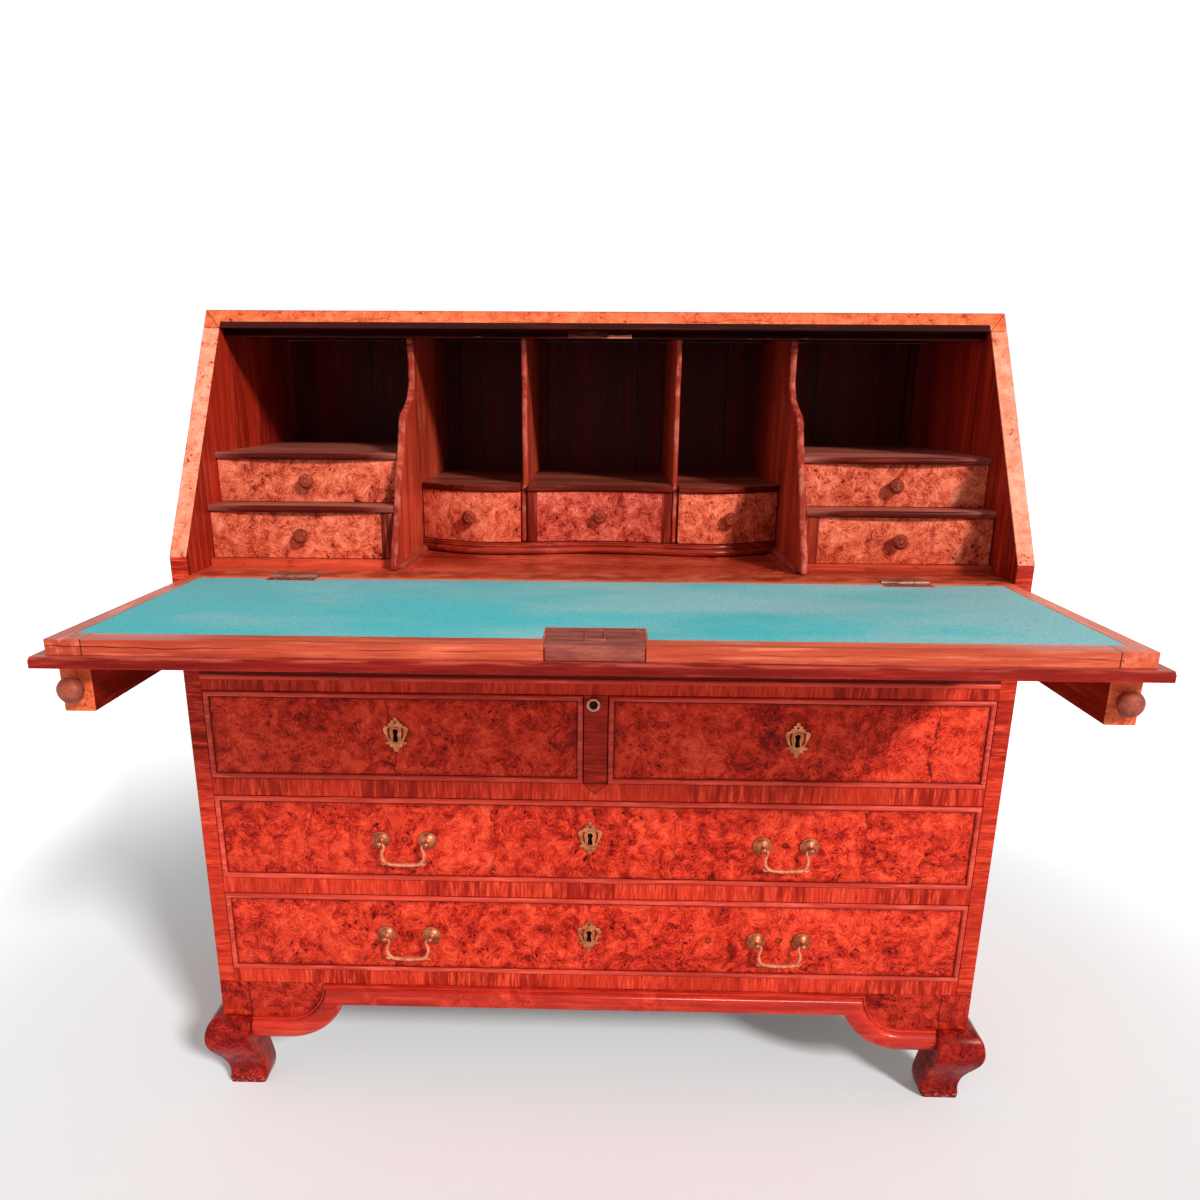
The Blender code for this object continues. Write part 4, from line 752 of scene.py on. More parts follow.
# The fall: a framed walnut board hinged to the bed, with cleated ends, a moulded lip that closes over
# the slope, a walnut border round the baize inside and burl veneer outside.
made, place = begin("fall_walnut")
across, back, height = axes(place)
panel = burl_figure(place, red_burl, (5.3, 0.8, 0.1), 1.3)
from_end = 0.490 - abs(across)
from_edge = least(back + 0.346, -0.0186 - back)
banding = blend(over(from_end - from_edge, 0.0004, -0.0004), cross_band(place, 0, band_tones)[0],
                cross_band(place, 1, band_tones)[0])
outside = framed(panel[0], banding, least(from_end, from_edge), 0.0399)
border_tones = ((174, 62, 40), (238, 118, 84), (248, 152, 120))
border_long = straight_grain(place, 0, border_tones)
border_short = straight_grain(place, 1, border_tones)
past_cleat = abs(across) - 0.4470
inside = blend(over(past_cleat, -0.0002, 0.0002), border_long[0], border_short[0])
inside = blend(over(abs(past_cleat), 0.0007, 0.0003), inside, (66, 14, 8))
wander = cloud(scaled(place, (0.3, 1.0, 1.0)), 30.0, 3.0) - 0.5
crack = over(abs(height - 0.6975 + wander * 0.012), 0.0008, 0.0002) * over(back, -0.330, -0.334)
crack = crack * over(cloud(scaled(place, (0.4, 1.0, 1.0)), 14.0, 2.0), 0.44, 0.56)
inside = blend(crack * 0.85, inside, (72, 16, 9))
lip = straight_grain(place, 0, ((92, 10, 8), (154, 32, 24), (192, 68, 52)))
tone = blend(over(height, 0.6906, 0.6898), inside, lip[0])
tone = blend(over(height, 0.6808, 0.6803), tone, outside)
# A painted highlight along the top edge of the lip.
painted_highlight = over(cloud(scaled(place, (0.12, 1.0, 1.0)), 160.0, 4.0), 0.40, 0.62) * over(height, 0.6870, 0.6892)
tone = blend(painted_highlight * over(height, 0.6908, 0.6902) * 0.6, tone, (206, 92, 74))
soften(["fall_panel"], seal(made, tone, border_long[1], 0.36), 0.0011, 3)


# The baize on the inside of the fall: one sheet of woollen cloth, glued down in a shallow recess and
# cut out round the hinge leaves and the lock. It has faded unevenly and holds some pale lint.
half = [(0.3252, -0.0123), (0.3252, -0.0253), (0.3828, -0.0253), (0.3828, -0.0123), (0.4627, -0.0123),
        (0.4627, -0.3097), (0.0463, -0.3097), (0.0463, -0.2617)]
outline = half + [(-across, along) for across, along in reversed(half)]
made, place = begin("baize_wool")
nap = cloud(place, 1500.0, 3.0, 0.7)
felted = cloud(place, 420.0, 4.0, 0.65)
faded = cloud(scaled(place, (1.0, 1.6, 1.0)), 5.0, 3.0)
across = axes(place)[0]
tone = blend(over(faded + across * 0.42, 0.38, 0.70), (56, 182, 187), (138, 186, 188))
tone = blend(over(felted, 0.42, 0.64) * 0.45, tone, (30, 142, 148))
tone = blend(over(nap, 0.54, 0.70) * 0.45, tone, (132, 212, 214))
lint = over(cloud(place, 300.0, 2.0, 0.8), 0.66, 0.71)
tone = blend(lint * 0.6, tone, (190, 226, 224))
polish(made, tone, felted * 0.1 + 0.86, nap * 0.6 + felted * 0.4, 0.7, 0.0006,
       {"Specular IOR Level": 0.15, "Sheen Weight": 0.10, "Sheen Roughness": 0.6})
form = bmesh.new()
slab(form, [(across, along, 0.7028) for across, along in outline], (0.0, 0.0, 0.0011))
ease(form, [edge for edge in form.edges if min(vert.co.z for vert in edge.verts) > 0.7035], 0.0004, 2)
felt = settle(form, "baize", made, "fall", "baize", "writing_felt")


# The lock of the fall: an iron plate let in flush, turned down over the front edge, with a raised
# square frame on it and four screws. It is dark with age.
soften(["fall_lock"], iron, 0.0004)


def square_ring(form, low, high, wide, thick):
    """A flat ring of four mitred strips in the upright plane, drawn out towards the front."""
    verts = bmesh.ops.create_grid(form, x_segments=1, y_segments=1, size=0.5)["verts"]
    bmesh.ops.rotate(form, cent=(0, 0, 0), matrix=Matrix.Rotation(math.pi / 2, 3, "X"), verts=verts)
    bmesh.ops.scale(form, vec=(high[0] - low[0], 1.0, high[1] - low[1]), verts=verts)
    bmesh.ops.translate(form, vec=((low[0] + high[0]) / 2, 0.0, (low[1] + high[1]) / 2), verts=verts)
    face = form.faces[:][0]
    inset(form, [face], wide)
    bmesh.ops.delete(form, geom=[face], context="FACES")
    draw_out(form, form.faces[:], (0.0, -thick, 0.0))
    sharp = sharp_edges(form, 1.0)
    return [edge for edge in sharp if max(vert.co.y for vert in edge.verts) < -thick / 2]


form = bmesh.new()
ease(form, square_ring(form, (-0.0095, -0.0200), (0.0095, 0.0200), 0.0022, 0.0018), 0.0007)
lie = Matrix.Translation((0.0, -0.2960, 0.7038)) @ Matrix.Rotation(-math.pi / 2, 4, "X")
bmesh.ops.transform(form, matrix=lie, verts=form.verts)
settle(form, "lock_square", iron, "fall", "iron")


def screw_head(form, centre, radius):
    """A flat screw head in a level plate, with its slot."""
    made = bmesh.ops.create_cone(form, cap_ends=True, segments=18, radius1=radius, radius2=radius * 0.86,
                                 depth=0.0006)["verts"]
    faces = list({face for vert in made for face in vert.link_faces})
    for side in (-1, 1):
        parts = faces + list({edge for face in faces for edge in face.edges})
        parts += list({vert for face in faces for vert in face.verts})
        spot = (0.0, side * radius * 0.17, 0.0)
        cut = bmesh.ops.bisect_plane(form, geom=parts, dist=0.000001, plane_co=spot, plane_no=(0.0, 1.0, 0.0))
        faces = only(cut["geom"], bmesh.types.BMFace)
    slot = [face for face in faces if face.normal.z > 0.9 and abs(face.calc_center_median().y) < radius * 0.1]
    bmesh.ops.inset_region(form, faces=slot, thickness=0.00002, depth=-0.0004)
    verts = list({vert for face in faces if face.is_valid for vert in face.verts})
    verts = list({other for vert in verts for face in vert.link_faces for other in face.verts})
    bmesh.ops.translate(form, vec=centre, verts=verts)


form = bmesh.new()
for side, sign in both:
    for depth in (-0.2695, -0.3235):
        screw_head(form, (sign * 0.0385, depth, 0.7042), 0.0032)
settle(form, "lock_screws", iron, "fall", "iron")


# The two hinges of the fall: brass leaves let in flush on both sides of the joint, with knuckles on
# the line of the bed's surface, each leaf held by three screws. They are brown with age.
hinge_brass = metal("hinge_brass", (112, 62, 48), (160, 104, 84), (56, 28, 22), 0.46, 0.7, (0.4, 1.0, 1.0))
leaves = ["hinge_" + side + "_" + leaf for side, sign in both for leaf in ("bed_leaf", "fall_leaf")]
soften(leaves, hinge_brass, 0.0003, plain=False)
for body, depths in (("carcase", (0.0200, 0.0120, 0.0200)), ("fall", (-0.0165, -0.0105, -0.0165))):
    form = bmesh.new()
    for side, sign in both:
        for offset, depth in zip((-0.0185, 0.0, 0.0185), depths):
            screw_head(form, (sign * 0.354 + offset, depth, 0.7041), 0.0026)
    settle(form, "hinge_screws_" + body, iron, body, "iron")


# The two partitions of the writing part and the two dividers of the pigeonholes: thin walnut boards
# with upright grain, their front edges sawn to a scalloped line and rounded over, with a painted highlight
# along them.
# Two small beads are carved across each partition's edge under the top.
front_edge = 0.222
partition_line = ((0.045, 0.7043), (0.045, 0.7125), (0.060, 0.7400), (0.082, 0.7740), (0.100, 0.8100),
                  (0.122, 0.8400), (0.140, 0.8760), (0.150, 0.8850), (0.176, 0.8930), (0.196, 0.9003),
                  (0.205, 0.9050), (0.212, 0.9118), (front_edge, 0.9250), (front_edge, 0.9837))
divider_line = ((0.203, 0.7203), (0.203, 0.7857), (0.226, 0.7943), (0.226, 0.9000), (0.231, 0.9094),
                (0.232, 0.9150), (0.225, 0.9261), (front_edge, 0.9300), (front_edge, 0.9837))
partition_tones = ((152, 40, 25), (220, 80, 51), (242, 116, 84))


def partition_finish(name, start, front_line):
    made, place = begin(name)
    back, height = axes(place)[1:]
    foot, rise = 0.70, 0.30
    stops = [((up - foot) / rise, (depth * 4, depth * 4, depth * 4, 1.0)) for depth, up in front_line]
    edge = height.node("ShaderNodeValToRGB", {0: (height - foot) * (1 / rise)}, {"stops": stops}) * 0.25
    nose = over(back - edge, 0.0045, 0.0010)
    # A painted highlight in patches along the front edge.
    painted_highlight = nose * over(cloud(scaled(place, (1.0, 1.0, 0.35)), 90.0, 4.0, 0.6), 0.44, 0.66)
    grain = straight_grain(moved(place, start), 2, partition_tones)
    patch = over(cloud(scaled(place, (1.0, 1.0, 0.4)), 40.0, 3.0), 0.56, 0.70)
    tone = blend(patch * 0.25, grain[0], (226, 122, 84))
    tone = blend(nose * 0.55, tone, (118, 30, 22))
    tone = blend(painted_highlight * 0.55, tone, (226, 124, 102))
    return seal(made, tone, grain[1], 0.36, coat=0.10)


bead_size = Matrix.Diagonal((0.0050, 0.0038, 0.0042, 1.0))
for side, sign in both:
    finish = partition_finish("partition_" + side + "_walnut", (sign * 0.4, 0.2, 0.0), partition_line)
    soften(["partition_" + side], finish, 0.0034, 4)
    form = bmesh.new()
    for up in (0.9715, 0.9630):
        middle = Matrix.Translation((sign * 0.2465, front_edge, up))
        bmesh.ops.create_uvsphere(form, u_segments=20, v_segments=12, radius=1.0, matrix=middle @ bead_size)
    settle(form, "partition_beads_" + side, finish, "carcase", "inner_walnut")
    finish = partition_finish("divider_" + side + "_walnut", (sign * 0.9, 0.5, 0.0), divider_line)
    soften(["pigeonhole_divider_" + side], finish, 0.0026, 4)


# The shelves over the small drawers: thin walnut boards with dark rounded front edges, housed in the
# sides and the partitions; the centre one follows the serpentine line of the drawers below it.
def shelf_finish(name, fore):
    made, place = begin(name)
    back = axes(place)[1]
    grain = straight_grain(place, 0, ((126, 54, 44), (178, 98, 84), (208, 134, 120)))
    edge = straight_grain(place, 0, ((56, 8, 5), (100, 22, 13), (150, 54, 38)))
    tone = blend(over(back, fore + 0.001, fore - 0.003), grain[0], edge[0])
    return seal(made, tone, grain[1], 0.34)


inner_back = 0.4934
shelf_near, shelf_far = 0.2515, 0.4795
bow, bow_steps = 0.006, 12
for level, fore, low in (("lower", 0.083, 0.769), ("upper", 0.125, 0.829)):
    finish = shelf_finish(level + "_shelf_walnut", fore)
    for side, sign in both:
        line = []
        for step in range(bow_steps + 1):
            share = step / bow_steps
            across = shelf_near + (shelf_far - shelf_near) * share
            line.append((sign * across, fore - bow * math.sin(math.pi * share), low))
        line += [(sign * shelf_far, inner_back, low), (sign * shelf_near, inner_back, low)]
        form = bmesh.new()
        slab(form, line, (0.0, 0.0, 0.008))
        nose = [edge for edge in sharp_edges(form, 1.0) if max(vert.co.y for vert in edge.verts) < 0.2
                and abs(edge.verts[0].co.z - edge.verts[1].co.z) < 0.001]
        ease(form, nose, 0.0034, 4)
        settle(form, "shelf_" + level + "_" + side + "_bowed", finish, "carcase", "inner_walnut",
               "shelf_" + level + "_" + side)


def serpentine(across):
    """The line of the centre drawer fronts behind the carcase front."""
    reach = abs(across)
    if reach < 0.140:
        return 0.216 - 0.021 * (1 - math.cos(math.pi * reach / 0.140)) / 2
    return 0.195 + 0.048 * ((reach - 0.140) / 0.102) ** 2


made, place = begin("centre_shelf_walnut")
height = axes(place)[2]
grain = straight_grain(place, 0, ((110, 44, 30), (160, 82, 62), (184, 110, 88)))
edge = straight_grain(place, 0, ((62, 10, 6), (108, 26, 15), (150, 54, 34)))
tone = blend(over(height, 0.7936, 0.7939), edge[0], grain[0])
soften(["centre_shelf"], seal(made, tone, grain[1], 0.34), 0.0022, 4)


# The plinth under the centre drawers: a thin board on the floor whose serpentine front carries a bold
# bead between two small ones, run in walnut and bent round the curves.
plinth_half, plinth_foot, plinth_steps = 0.2415, 0.7046, 48
places = [plinth_half * (2 * step / plinth_steps - 1) for step in range(plinth_steps + 1)]
plinth_tones = ((96, 16, 9), (160, 44, 26), (204, 84, 54))
made = plain_walnut("plinth_walnut", 0, plinth_tones, 0.26, 0.3)
form = bmesh.new()
line = [(across, serpentine(across) - 0.0020, plinth_foot) for across in places]
line += [(plinth_half, inner_back, plinth_foot), (-plinth_half, inner_back, plinth_foot)]
slab(form, line, (0.0, 0.0, 0.0150))
settle(form, "plinth_board", made, "carcase", "inner_walnut", "centre_plinth")
section = [(0.0, -0.0010, 0.0), (0.0, -0.0040, 0.0), (0.0, -0.0064, 0.0012), (0.0, -0.0077, 0.0032),
           (0.0, -0.0078, 0.0054), (0.0, -0.0066, 0.0076), (0.0, -0.0046, 0.0088), (0.0, -0.0040, 0.0093),
           (0.0, -0.0050, 0.0100), (0.0, -0.0056, 0.0110), (0.0, -0.0050, 0.0120), (0.0, -0.0036, 0.0125),
           (0.0, -0.0034, 0.0130), (0.0, -0.0042, 0.0136), (0.0, -0.0042, 0.0144), (0.0, -0.0030, 0.0151),
           (0.0, -0.0010, 0.0152)]
stations = [Matrix.Translation((across, serpentine(across), plinth_foot)) for across in places]
form = bmesh.new()
run_moulding(form, section, stations)
settle(form, "plinth_moulding", made, "carcase", "inner_walnut")


# The four small drawers of the side banks and the three of the serpentine centre: burl fronts on thin
# oak boxes, each with a turned walnut knob that has rings on its face.
def lining_finish(name):
    made, place = begin(name)
    grain = straight_grain(place, 1, ((146, 84, 48), (192, 126, 80), (212, 152, 106)))
    stains = over(cloud(place, 14.0, 3.0), 0.52, 0.70)
    tone = blend(stains * 0.35, grain[0], (124, 66, 38))
    return seal(made, tone, grain[1], 0.62, coat=0.0)


oak = lining_finish("drawer_oak")
small_tones = ((76, 15, 9), (172, 60, 39), (228, 108, 76), (252, 160, 126))


def small_front_finish(name, tones, start, ends, band_width):
    made, place = begin(name)
    across = axes(place)[0]
    figure = burl_figure(place, tones, start, 1.7)
    tone = figure[0]
    for end in ends:
        grain = straight_grain(moved(place, start), 2, tones)
        tone = blend(over(abs(across - end), band_width + 0.0003, band_width - 0.0003), tone, grain[0])
    return seal(made, tone, figure[1], 0.34)


knob_tones = ((104, 28, 16), (164, 62, 38), (200, 100, 68))
knob_walnut = plain_walnut("knob_walnut", 1, knob_tones, 0.28, 0.3, 2.0)
knob_line = [(0.0, 0.0172), (0.0014, 0.0178), (0.0026, 0.0174), (0.0032, 0.0164), (0.0040, 0.0166),
             (0.0054, 0.0168), (0.0062, 0.0160), (0.0068, 0.0152), (0.0080, 0.0146), (0.0091, 0.0132),
             (0.0095, 0.0116), (0.0091, 0.0098), (0.0078, 0.0080), (0.0060, 0.0066), (0.0048, 0.0052),
             (0.0046, 0.0038), (0.0054, 0.0030), (0.0066, 0.0024), (0.0068, 0.0012), (0.0064, 0.0002),
             (0.0, 0.0002)]
box_gap = 0.0003
small_drawer_back = 0.440


def hollow_out(form, wall, depth):
    """Make an open box of a solid one: its top is sunk, leaving the walls round it."""
    top = max(form.faces, key=lambda face: face.calc_center_median().z)
    inset(form, [top], wall)
    inset(form, [top], 0.00005, -depth)


def small_drawer(name, line, low, high, finish, knob):
    """A small drawer: its front follows the given line, with an open box and a knob."""
    form = bmesh.new()
    rear = [(across, depth + 0.0095) for across, depth in reversed(line)]
    slab(form, [(across, depth, low) for across, depth in line + rear], (0.0, 0.0, high - low))
    ease(form, sharp_edges(form, 0.9), 0.0007)
    settle(form, name + "_front", finish, name, "inner_walnut", name)
    first, last = line[0][0] + box_gap, line[-1][0] - box_gap
    box = [(min(max(across, first), last), depth + 0.0060) for across, depth in line]
    box += [(last, small_drawer_back), (first, small_drawer_back)]
    form = bmesh.new()
    slab(form, [(across, depth, low + box_gap) for across, depth in box], (0.0, 0.0, high - low - 0.0063))
    bmesh.ops.recalc_face_normals(form, faces=form.faces)
    hollow_out(form, 0.0050, high - low - 0.0115)
    settle(form, name + "_box", oak, name, "inner_walnut")
    form = bmesh.new()
    turned(form, knob_line, knob, 24)
    settle(form, name + "_knob", knob_walnut, name, "inner_walnut")


bank_near, bank_far = 0.2523, 0.4787
levels = (("lower", 0.0870, 0.7130, 0.7685), ("upper", 0.1290, 0.7775, 0.8285))
for level, fore, low, high in levels:
    for side, sign in both:
        line = [(across, fore) for across in sorted((sign * bank_near, sign * bank_far))]
        band = [sign * bank_near] if level == "lower" else []
        finish = small_front_finish("small_front_" + level + "_" + side, small_tones,
                                    (sign * 0.37 + low * 7, 0.3, 0.5), band, 0.016)
        knob = (sign * 0.3655, fore, (low + high) / 2)
        small_drawer("inner_drawer_" + level + "_" + side, line, low, high, finish, knob)

centre_tones = ((78, 11, 8), (152, 43, 31), (206, 86, 66), (240, 138, 112))
bays = (("inner_drawer_centre_left", -0.2405, -0.1045, small_tones, []),
        ("inner_drawer_centre", -0.0955, 0.0955, centre_tones, [-0.0955, 0.0955]),
        ("inner_drawer_centre_right", 0.1045, 0.2405, small_tones, []))
bay_steps = 14
for name, near, far, tones, ends in bays:
    run = [near + (far - near) * step / bay_steps for step in range(bay_steps + 1)]
    finish = small_front_finish("front_" + name, tones, (near * 5 + 2.0, 0.7, 0.2), ends, 0.013)
    knob = ((near + far) / 2, serpentine((near + far) / 2), 0.753)
    small_drawer(name, [(across, serpentine(across)) for across in run], 0.7205, 0.7855, finish, knob)


# The four main drawers: fronts veneered with matched leaves of burr walnut on oak boxes. A rounded
# walnut bead, mitred at the corners, stands proud all round each front. Old handle holes are plugged.
def apart(place, spot):
    """How far the place is from a spot."""
    return place.node("ShaderNodeVectorMath", {0: place, 1: spot}, {"operation": "DISTANCE"}, out=1)


def drawer_finish(name, low, high, start, leaf, plugs):
    made, place = begin(name)
    across, back, height = axes(place)
    run = (across + start[0] + (cloud(place, 26.0, 4.0, 0.6) - 0.5) * 0.045) * (1 / leaf)
    sheet = run.through("FLOOR")
    spot = place.node("ShaderNodeCombineXYZ", {0: across + sheet * 0.31, 1: back, 2: height + sheet * 0.17})
    figure = burl_figure(spot, red_burl, start, 1.45)
    joint = over(abs(run.through("FRACT") - 0.5), 0.4968, 0.4990)
    tone = blend(joint * 0.75, figure[0], red_burl[0])
    rim = least(least(across - low[0], high[0] - across), least(height - low[1], high[1] - height))
    # Darker towards the bead all round.
    toward_bead = over(rim + (cloud(place, 120.0, 3.0) - 0.5) * 0.010, 0.013, 0.006)
    tone = blend(toward_bead * 0.5, tone, (88, 10, 7))
    # A painted shadow: a dark line just inside the bead.
    tone = blend(over(rim, 0.0084, 0.0072) * 0.8, tone, (54, 6, 5))
    relief = figure[1]
    for plug_x, plug_z in plugs:
        reach = apart(place, (plug_x, 0.0, plug_z))
        plug = over(abs(reach - 0.0034), 0.0011, 0.0005)
        tone = blend(plug * 0.8, tone, (66, 8, 6))
        tone = blend(over(reach, 0.0034, 0.0020) * 0.35, tone, (96, 16, 10))
        relief = relief - plug * 1.5
    return seal(made, tone, relief, 0.36)


def main_drawer(name, low, high, start, leaf, plugs):
    form = bmesh.new()
    block(form, (low[0], 0.0, low[1]), (high[0], 0.0195, high[1]))
    ease(form, form.edges[:], 0.0006)
    finish = drawer_finish(name + "_burl", low, high, start, leaf, plugs)
    settle(form, name + "_front", finish, name, "burl_walnut", name)
    form = bmesh.new()
    ease(form, square_ring(form, low, high, 0.0066, 0.0036), 0.0029, 5)
    bmesh.ops.translate(form, vec=(0.0, 0.0006, 0.0), verts=form.verts)
    settle(form, name + "_bead", bead_walnut, name, "straight_walnut")
    form = bmesh.new()
    block(form, (low[0] + box_gap, 0.0100, low[1] + box_gap), (high[0] - box_gap, 0.4600, high[1] - 0.0120))
    hollow_out(form, 0.0100, high[1] - low[1] - 0.0203)
    settle(form, name + "_box", oak, name, "inner_walnut")


handle_x = 0.241
main_drawer("short_drawer_left", (-0.479, 0.4517), (-0.0155, 0.5643), (0.71, 0.2, 0.4), 0.46, [])
main_drawer("short_drawer_right", (0.0155, 0.4517), (0.479, 0.5643), (1.43, 0.9, 0.1), 0.46, [])
main_drawer("middle_drawer", (-0.479, 0.3147), (0.479, 0.4278), (0.60, 0.5, 1.7), 0.235,
            [(-handle_x, 0.3713), (handle_x, 0.3713), (0.048, 0.372)])
main_drawer("bottom_drawer", (-0.479, 0.1810), (0.479, 0.2918), (0.76, 1.6, 2.3), 0.25,
            [(-handle_x, 0.2364), (handle_x, 0.2364), (0.150, 0.235)])


# The brass handle posts, two to each handle: a domed rosette against the veneer and a ball on a short
# neck, bolted through the drawer front. The ball takes the pin of the bail from the inner side.
post_brass = metal("post_brass", (138, 68, 43), (190, 110, 72), (78, 34, 24), 0.42, 0.8, evenly)
pin_reach, ball_radius = 0.0150, 0.0042
turns = [math.pi * step / 8 for step in range(7)]
ball = [(ball_radius * math.sin(turn), pin_reach + ball_radius * math.cos(turn)) for turn in turns]
post_line = ball + [(0.0026, 0.0108), (0.0033, 0.0101), (0.0033, 0.0094), (0.0026, 0.0087), (0.0028, 0.0078),
                    (0.0042, 0.0068), (0.0062, 0.0062), (0.0080, 0.0052), (0.0095, 0.0036), (0.0101, 0.0030),
                    (0.0107, 0.0031), (0.0117, 0.0027), (0.0122, 0.0018), (0.0121, 0.0003), (0.0, 0.0003)]
rows = (("middle", 0.37125), ("bottom", 0.2364))
post_spread = 0.0295
for row, up in rows:
    form = bmesh.new()
    nodes = []
    for side, sign in both:
        for end, turn in both:
            turned(form, post_line, (sign * handle_x + turn * post_spread, 0.0, up), 26)
            nodes.append("handle_" + row + "_" + side + "_post_" + end)
    settle(form, "handle_posts_" + row, post_brass, row + "_drawer", "brass", *nodes)


# The swan-neck bails: cast brass drops, thin where their pins enter the balls and swelling towards the
# bar, with a small curled tail at each lower corner. They swing up for the fingers.
def meshed(curve, runs, closed, weld):
    """The mesh of a curve along the given runs of (x, y, z, thickness share), its caps welded on."""
    for run in runs:
        spline = curve.splines.new("POLY")
        spline.points.add(len(run) - 1)
        spline.use_cyclic_u = closed
        for point, (x, y, z, share) in zip(spline.points, run):
            point.co = (x, y, z, 1.0)
            point.radius = share
    holder = bpy.data.objects.new(curve.name, curve)
    bpy.context.scene.collection.objects.link(holder)
    bpy.context.view_layer.update()
    drawn = bpy.data.meshes.new_from_object(holder.evaluated_get(bpy.context.evaluated_depsgraph_get()))
    bpy.data.objects.remove(holder, do_unlink=True)
    form = bmesh.new()
    form.from_mesh(drawn)
    bmesh.ops.remove_doubles(form, verts=form.verts, dist=weld)
    return form


def wire(runs, radius):
    """Round brass wire along the given runs."""
    curve = bpy.data.curves.new("wire", "CURVE")
    curve.dimensions = "3D"
    curve.bevel_depth = radius
    curve.bevel_resolution = 3
    curve.use_fill_caps = True
    return meshed(curve, runs, False, 0.00001)


arm = flowing([(-0.0286, 0.0, 0.52), (-0.0264, -0.0002, 0.52), (-0.0245, -0.0018, 0.54),
               (-0.0239, -0.0052, 0.64), (-0.0266, -0.0125, 0.82), (-0.0258, -0.0205, 0.92),
               (-0.0215, -0.0262, 1.0), (-0.0110, -0.0281, 1.06), (0.0, -0.0283, 1.12)], 6)
curl = flowing([(-0.0212, -0.0256, 0.82), (-0.0238, -0.0274, 0.66), (-0.0264, -0.0278, 0.50),
                (-0.0280, -0.0266, 0.36), (-0.0280, -0.0248, 0.26)], 4)
bend = arm + [(-reach, drop, share) for reach, drop, share in reversed(arm[:-1])]
other_curl = [(-reach, drop, share) for reach, drop, share in curl]
bail_brass = metal("bail_brass", (190, 98, 66), (240, 148, 108), (124, 56, 38), 0.42, 0.55, evenly)
for row, up in rows:
    for side, sign in both:
        runs = [[(sign * handle_x + reach, -pin_reach, up + drop, share) for reach, drop, share in run]
                for run in (bend, curl, other_curl)]
        form = wire(runs, 0.0026)
        name = "bail_" + row + "_" + side
        settle(form, name + "_cast", bail_brass, name, "brass", name)


# The escutcheons: thin cast-brass plates, pierced round a waisted keyhole, with a lobed crown, scrolls
# at the shoulders, curled feet and a pointed drop, pinned to the veneer. Behind each keyhole lies a
# thin dark sheet on the veneer, painted shade in place of the hole.
plate_half = flowing([(0.0, 22.5), (1.8, 21.8), (2.6, 19.8), (2.2, 18.4), (4.2, 18.6), (5.8, 17.0),
                      (5.6, 15.0), (7.4, 14.8), (8.8, 13.4), (9.0, 11.4), (11.4, 11.6), (14.0, 10.0),
                      (15.4, 7.0), (14.8, 3.6), (13.4, 0.6), (12.2, -3.0), (10.6, -6.4), (9.6, -8.6),
                      (11.4, -8.6), (13.0, -10.0), (12.4, -12.2), (10.0, -12.8), (8.2, -12.4), (7.8, -14.6),
                      (6.2, -16.6), (4.4, -16.6), (3.6, -17.6), (2.8, -20.2), (1.4, -22.0), (0.0, -22.6)], 3)
scroll_hole = flowing([(7.4, 9.2), (9.6, 7.4), (10.0, 3.4), (9.0, -1.8), (7.0, -6.6), (6.2, -5.6),
                       (7.2, -0.8), (7.4, 3.6), (6.6, 7.0), (7.4, 9.2)], 3)[:-1]
crown_hole = flowing([(0.0, 17.2), (1.3, 15.8), (0.0, 13.8), (-1.3, 15.8), (0.0, 17.2)], 3)[:-1]
key_half = flowing([(0.0, 7.6), (2.7, 6.5), (3.3, 4.3), (2.9, 2.2), (2.2, 0.6)], 3)
key_half += [(3.2, -8.2), (0.0, -8.9)]
rim_half = flowing([(0.0, 10.2), (3.6, 8.8), (5.2, 5.4), (4.8, 1.6), (4.2, -1.2), (4.8, -5.4), (5.2, -9.2),
                    (3.0, -10.8), (0.0, -11.4)], 3)


def plate(outlines, thick, round_over):
    """An upright plate, sawn out along its outline and its piercings, which are in millimetres."""
    curve = bpy.data.curves.new("plate", "CURVE")
    curve.dimensions = "2D"
    curve.fill_mode = "BOTH"
    curve.extrude = thick / 2
    curve.bevel_depth = round_over
    curve.bevel_resolution = 1
    curve.offset = -round_over
    runs = [[(across * 0.001, up * 0.001, 0.0, 1.0) for across, up in outline] for outline in outlines]
    form = meshed(curve, runs, True, 0.000005)
    bmesh.ops.dissolve_degenerate(form, edges=form.edges, dist=0.00001)
    bmesh.ops.rotate(form, cent=(0, 0, 0), matrix=Matrix.Rotation(math.pi / 2, 3, "X"), verts=form.verts)
    return form


def whole(half):
    """Both halves of an outline that is drawn on one side only."""
    return half + [(-across, up) for across, up in reversed(half[1:-1])]


brass = metal("old_brass", (156, 84, 52), (206, 128, 84), (92, 44, 30), 0.44, 0.8, evenly)
# The keyhole is a thin dark sheet on the veneer: painted shade for the hole.
made, place = begin("key_hole_painted_shade")
hole_mottle = cloud(place, 500.0, 3.0)
tone = blend(over(hole_mottle, 0.45, 0.7), (12, 4, 3), (34, 12, 8))
keyhole_painted_shade = seal(made, tone, hole_mottle, 0.7, coat=0.0)
key_outline = whole(key_half)
plate_outlines = [whole(plate_half), key_outline, scroll_hole,
                  [(-across, up) for across, up in reversed(scroll_hole)], crown_hole]
key_inside = [(across * 0.98, up * 0.98) for across, up in key_outline]
layers = (("escutcheon_", plate_outlines, 0.0012, 0.0006, 0.0013, brass, "brass"),
          ("key_rim_", [whole(rim_half), key_outline], 0.0012, 0.0006, 0.0026, brass, "brass"),
          ("key_hole_", [key_inside], 0.0003, 0.0, 0.0002, keyhole_painted_shade, "iron"))
places = (("short_drawer_left", -0.245, 0.512), ("short_drawer_right", 0.245, 0.512),
          ("middle_drawer", -0.0054, 0.378), ("bottom_drawer", -0.0054, 0.240))
for body, across, up in places:
    for name, outlines, thick, round_over, reach, finish, slot in layers:
        form = plate(outlines, thick, round_over)
        bmesh.ops.translate(form, vec=(across, -reach, up), verts=form.verts)
        settle(form, name + body, finish, body, slot)


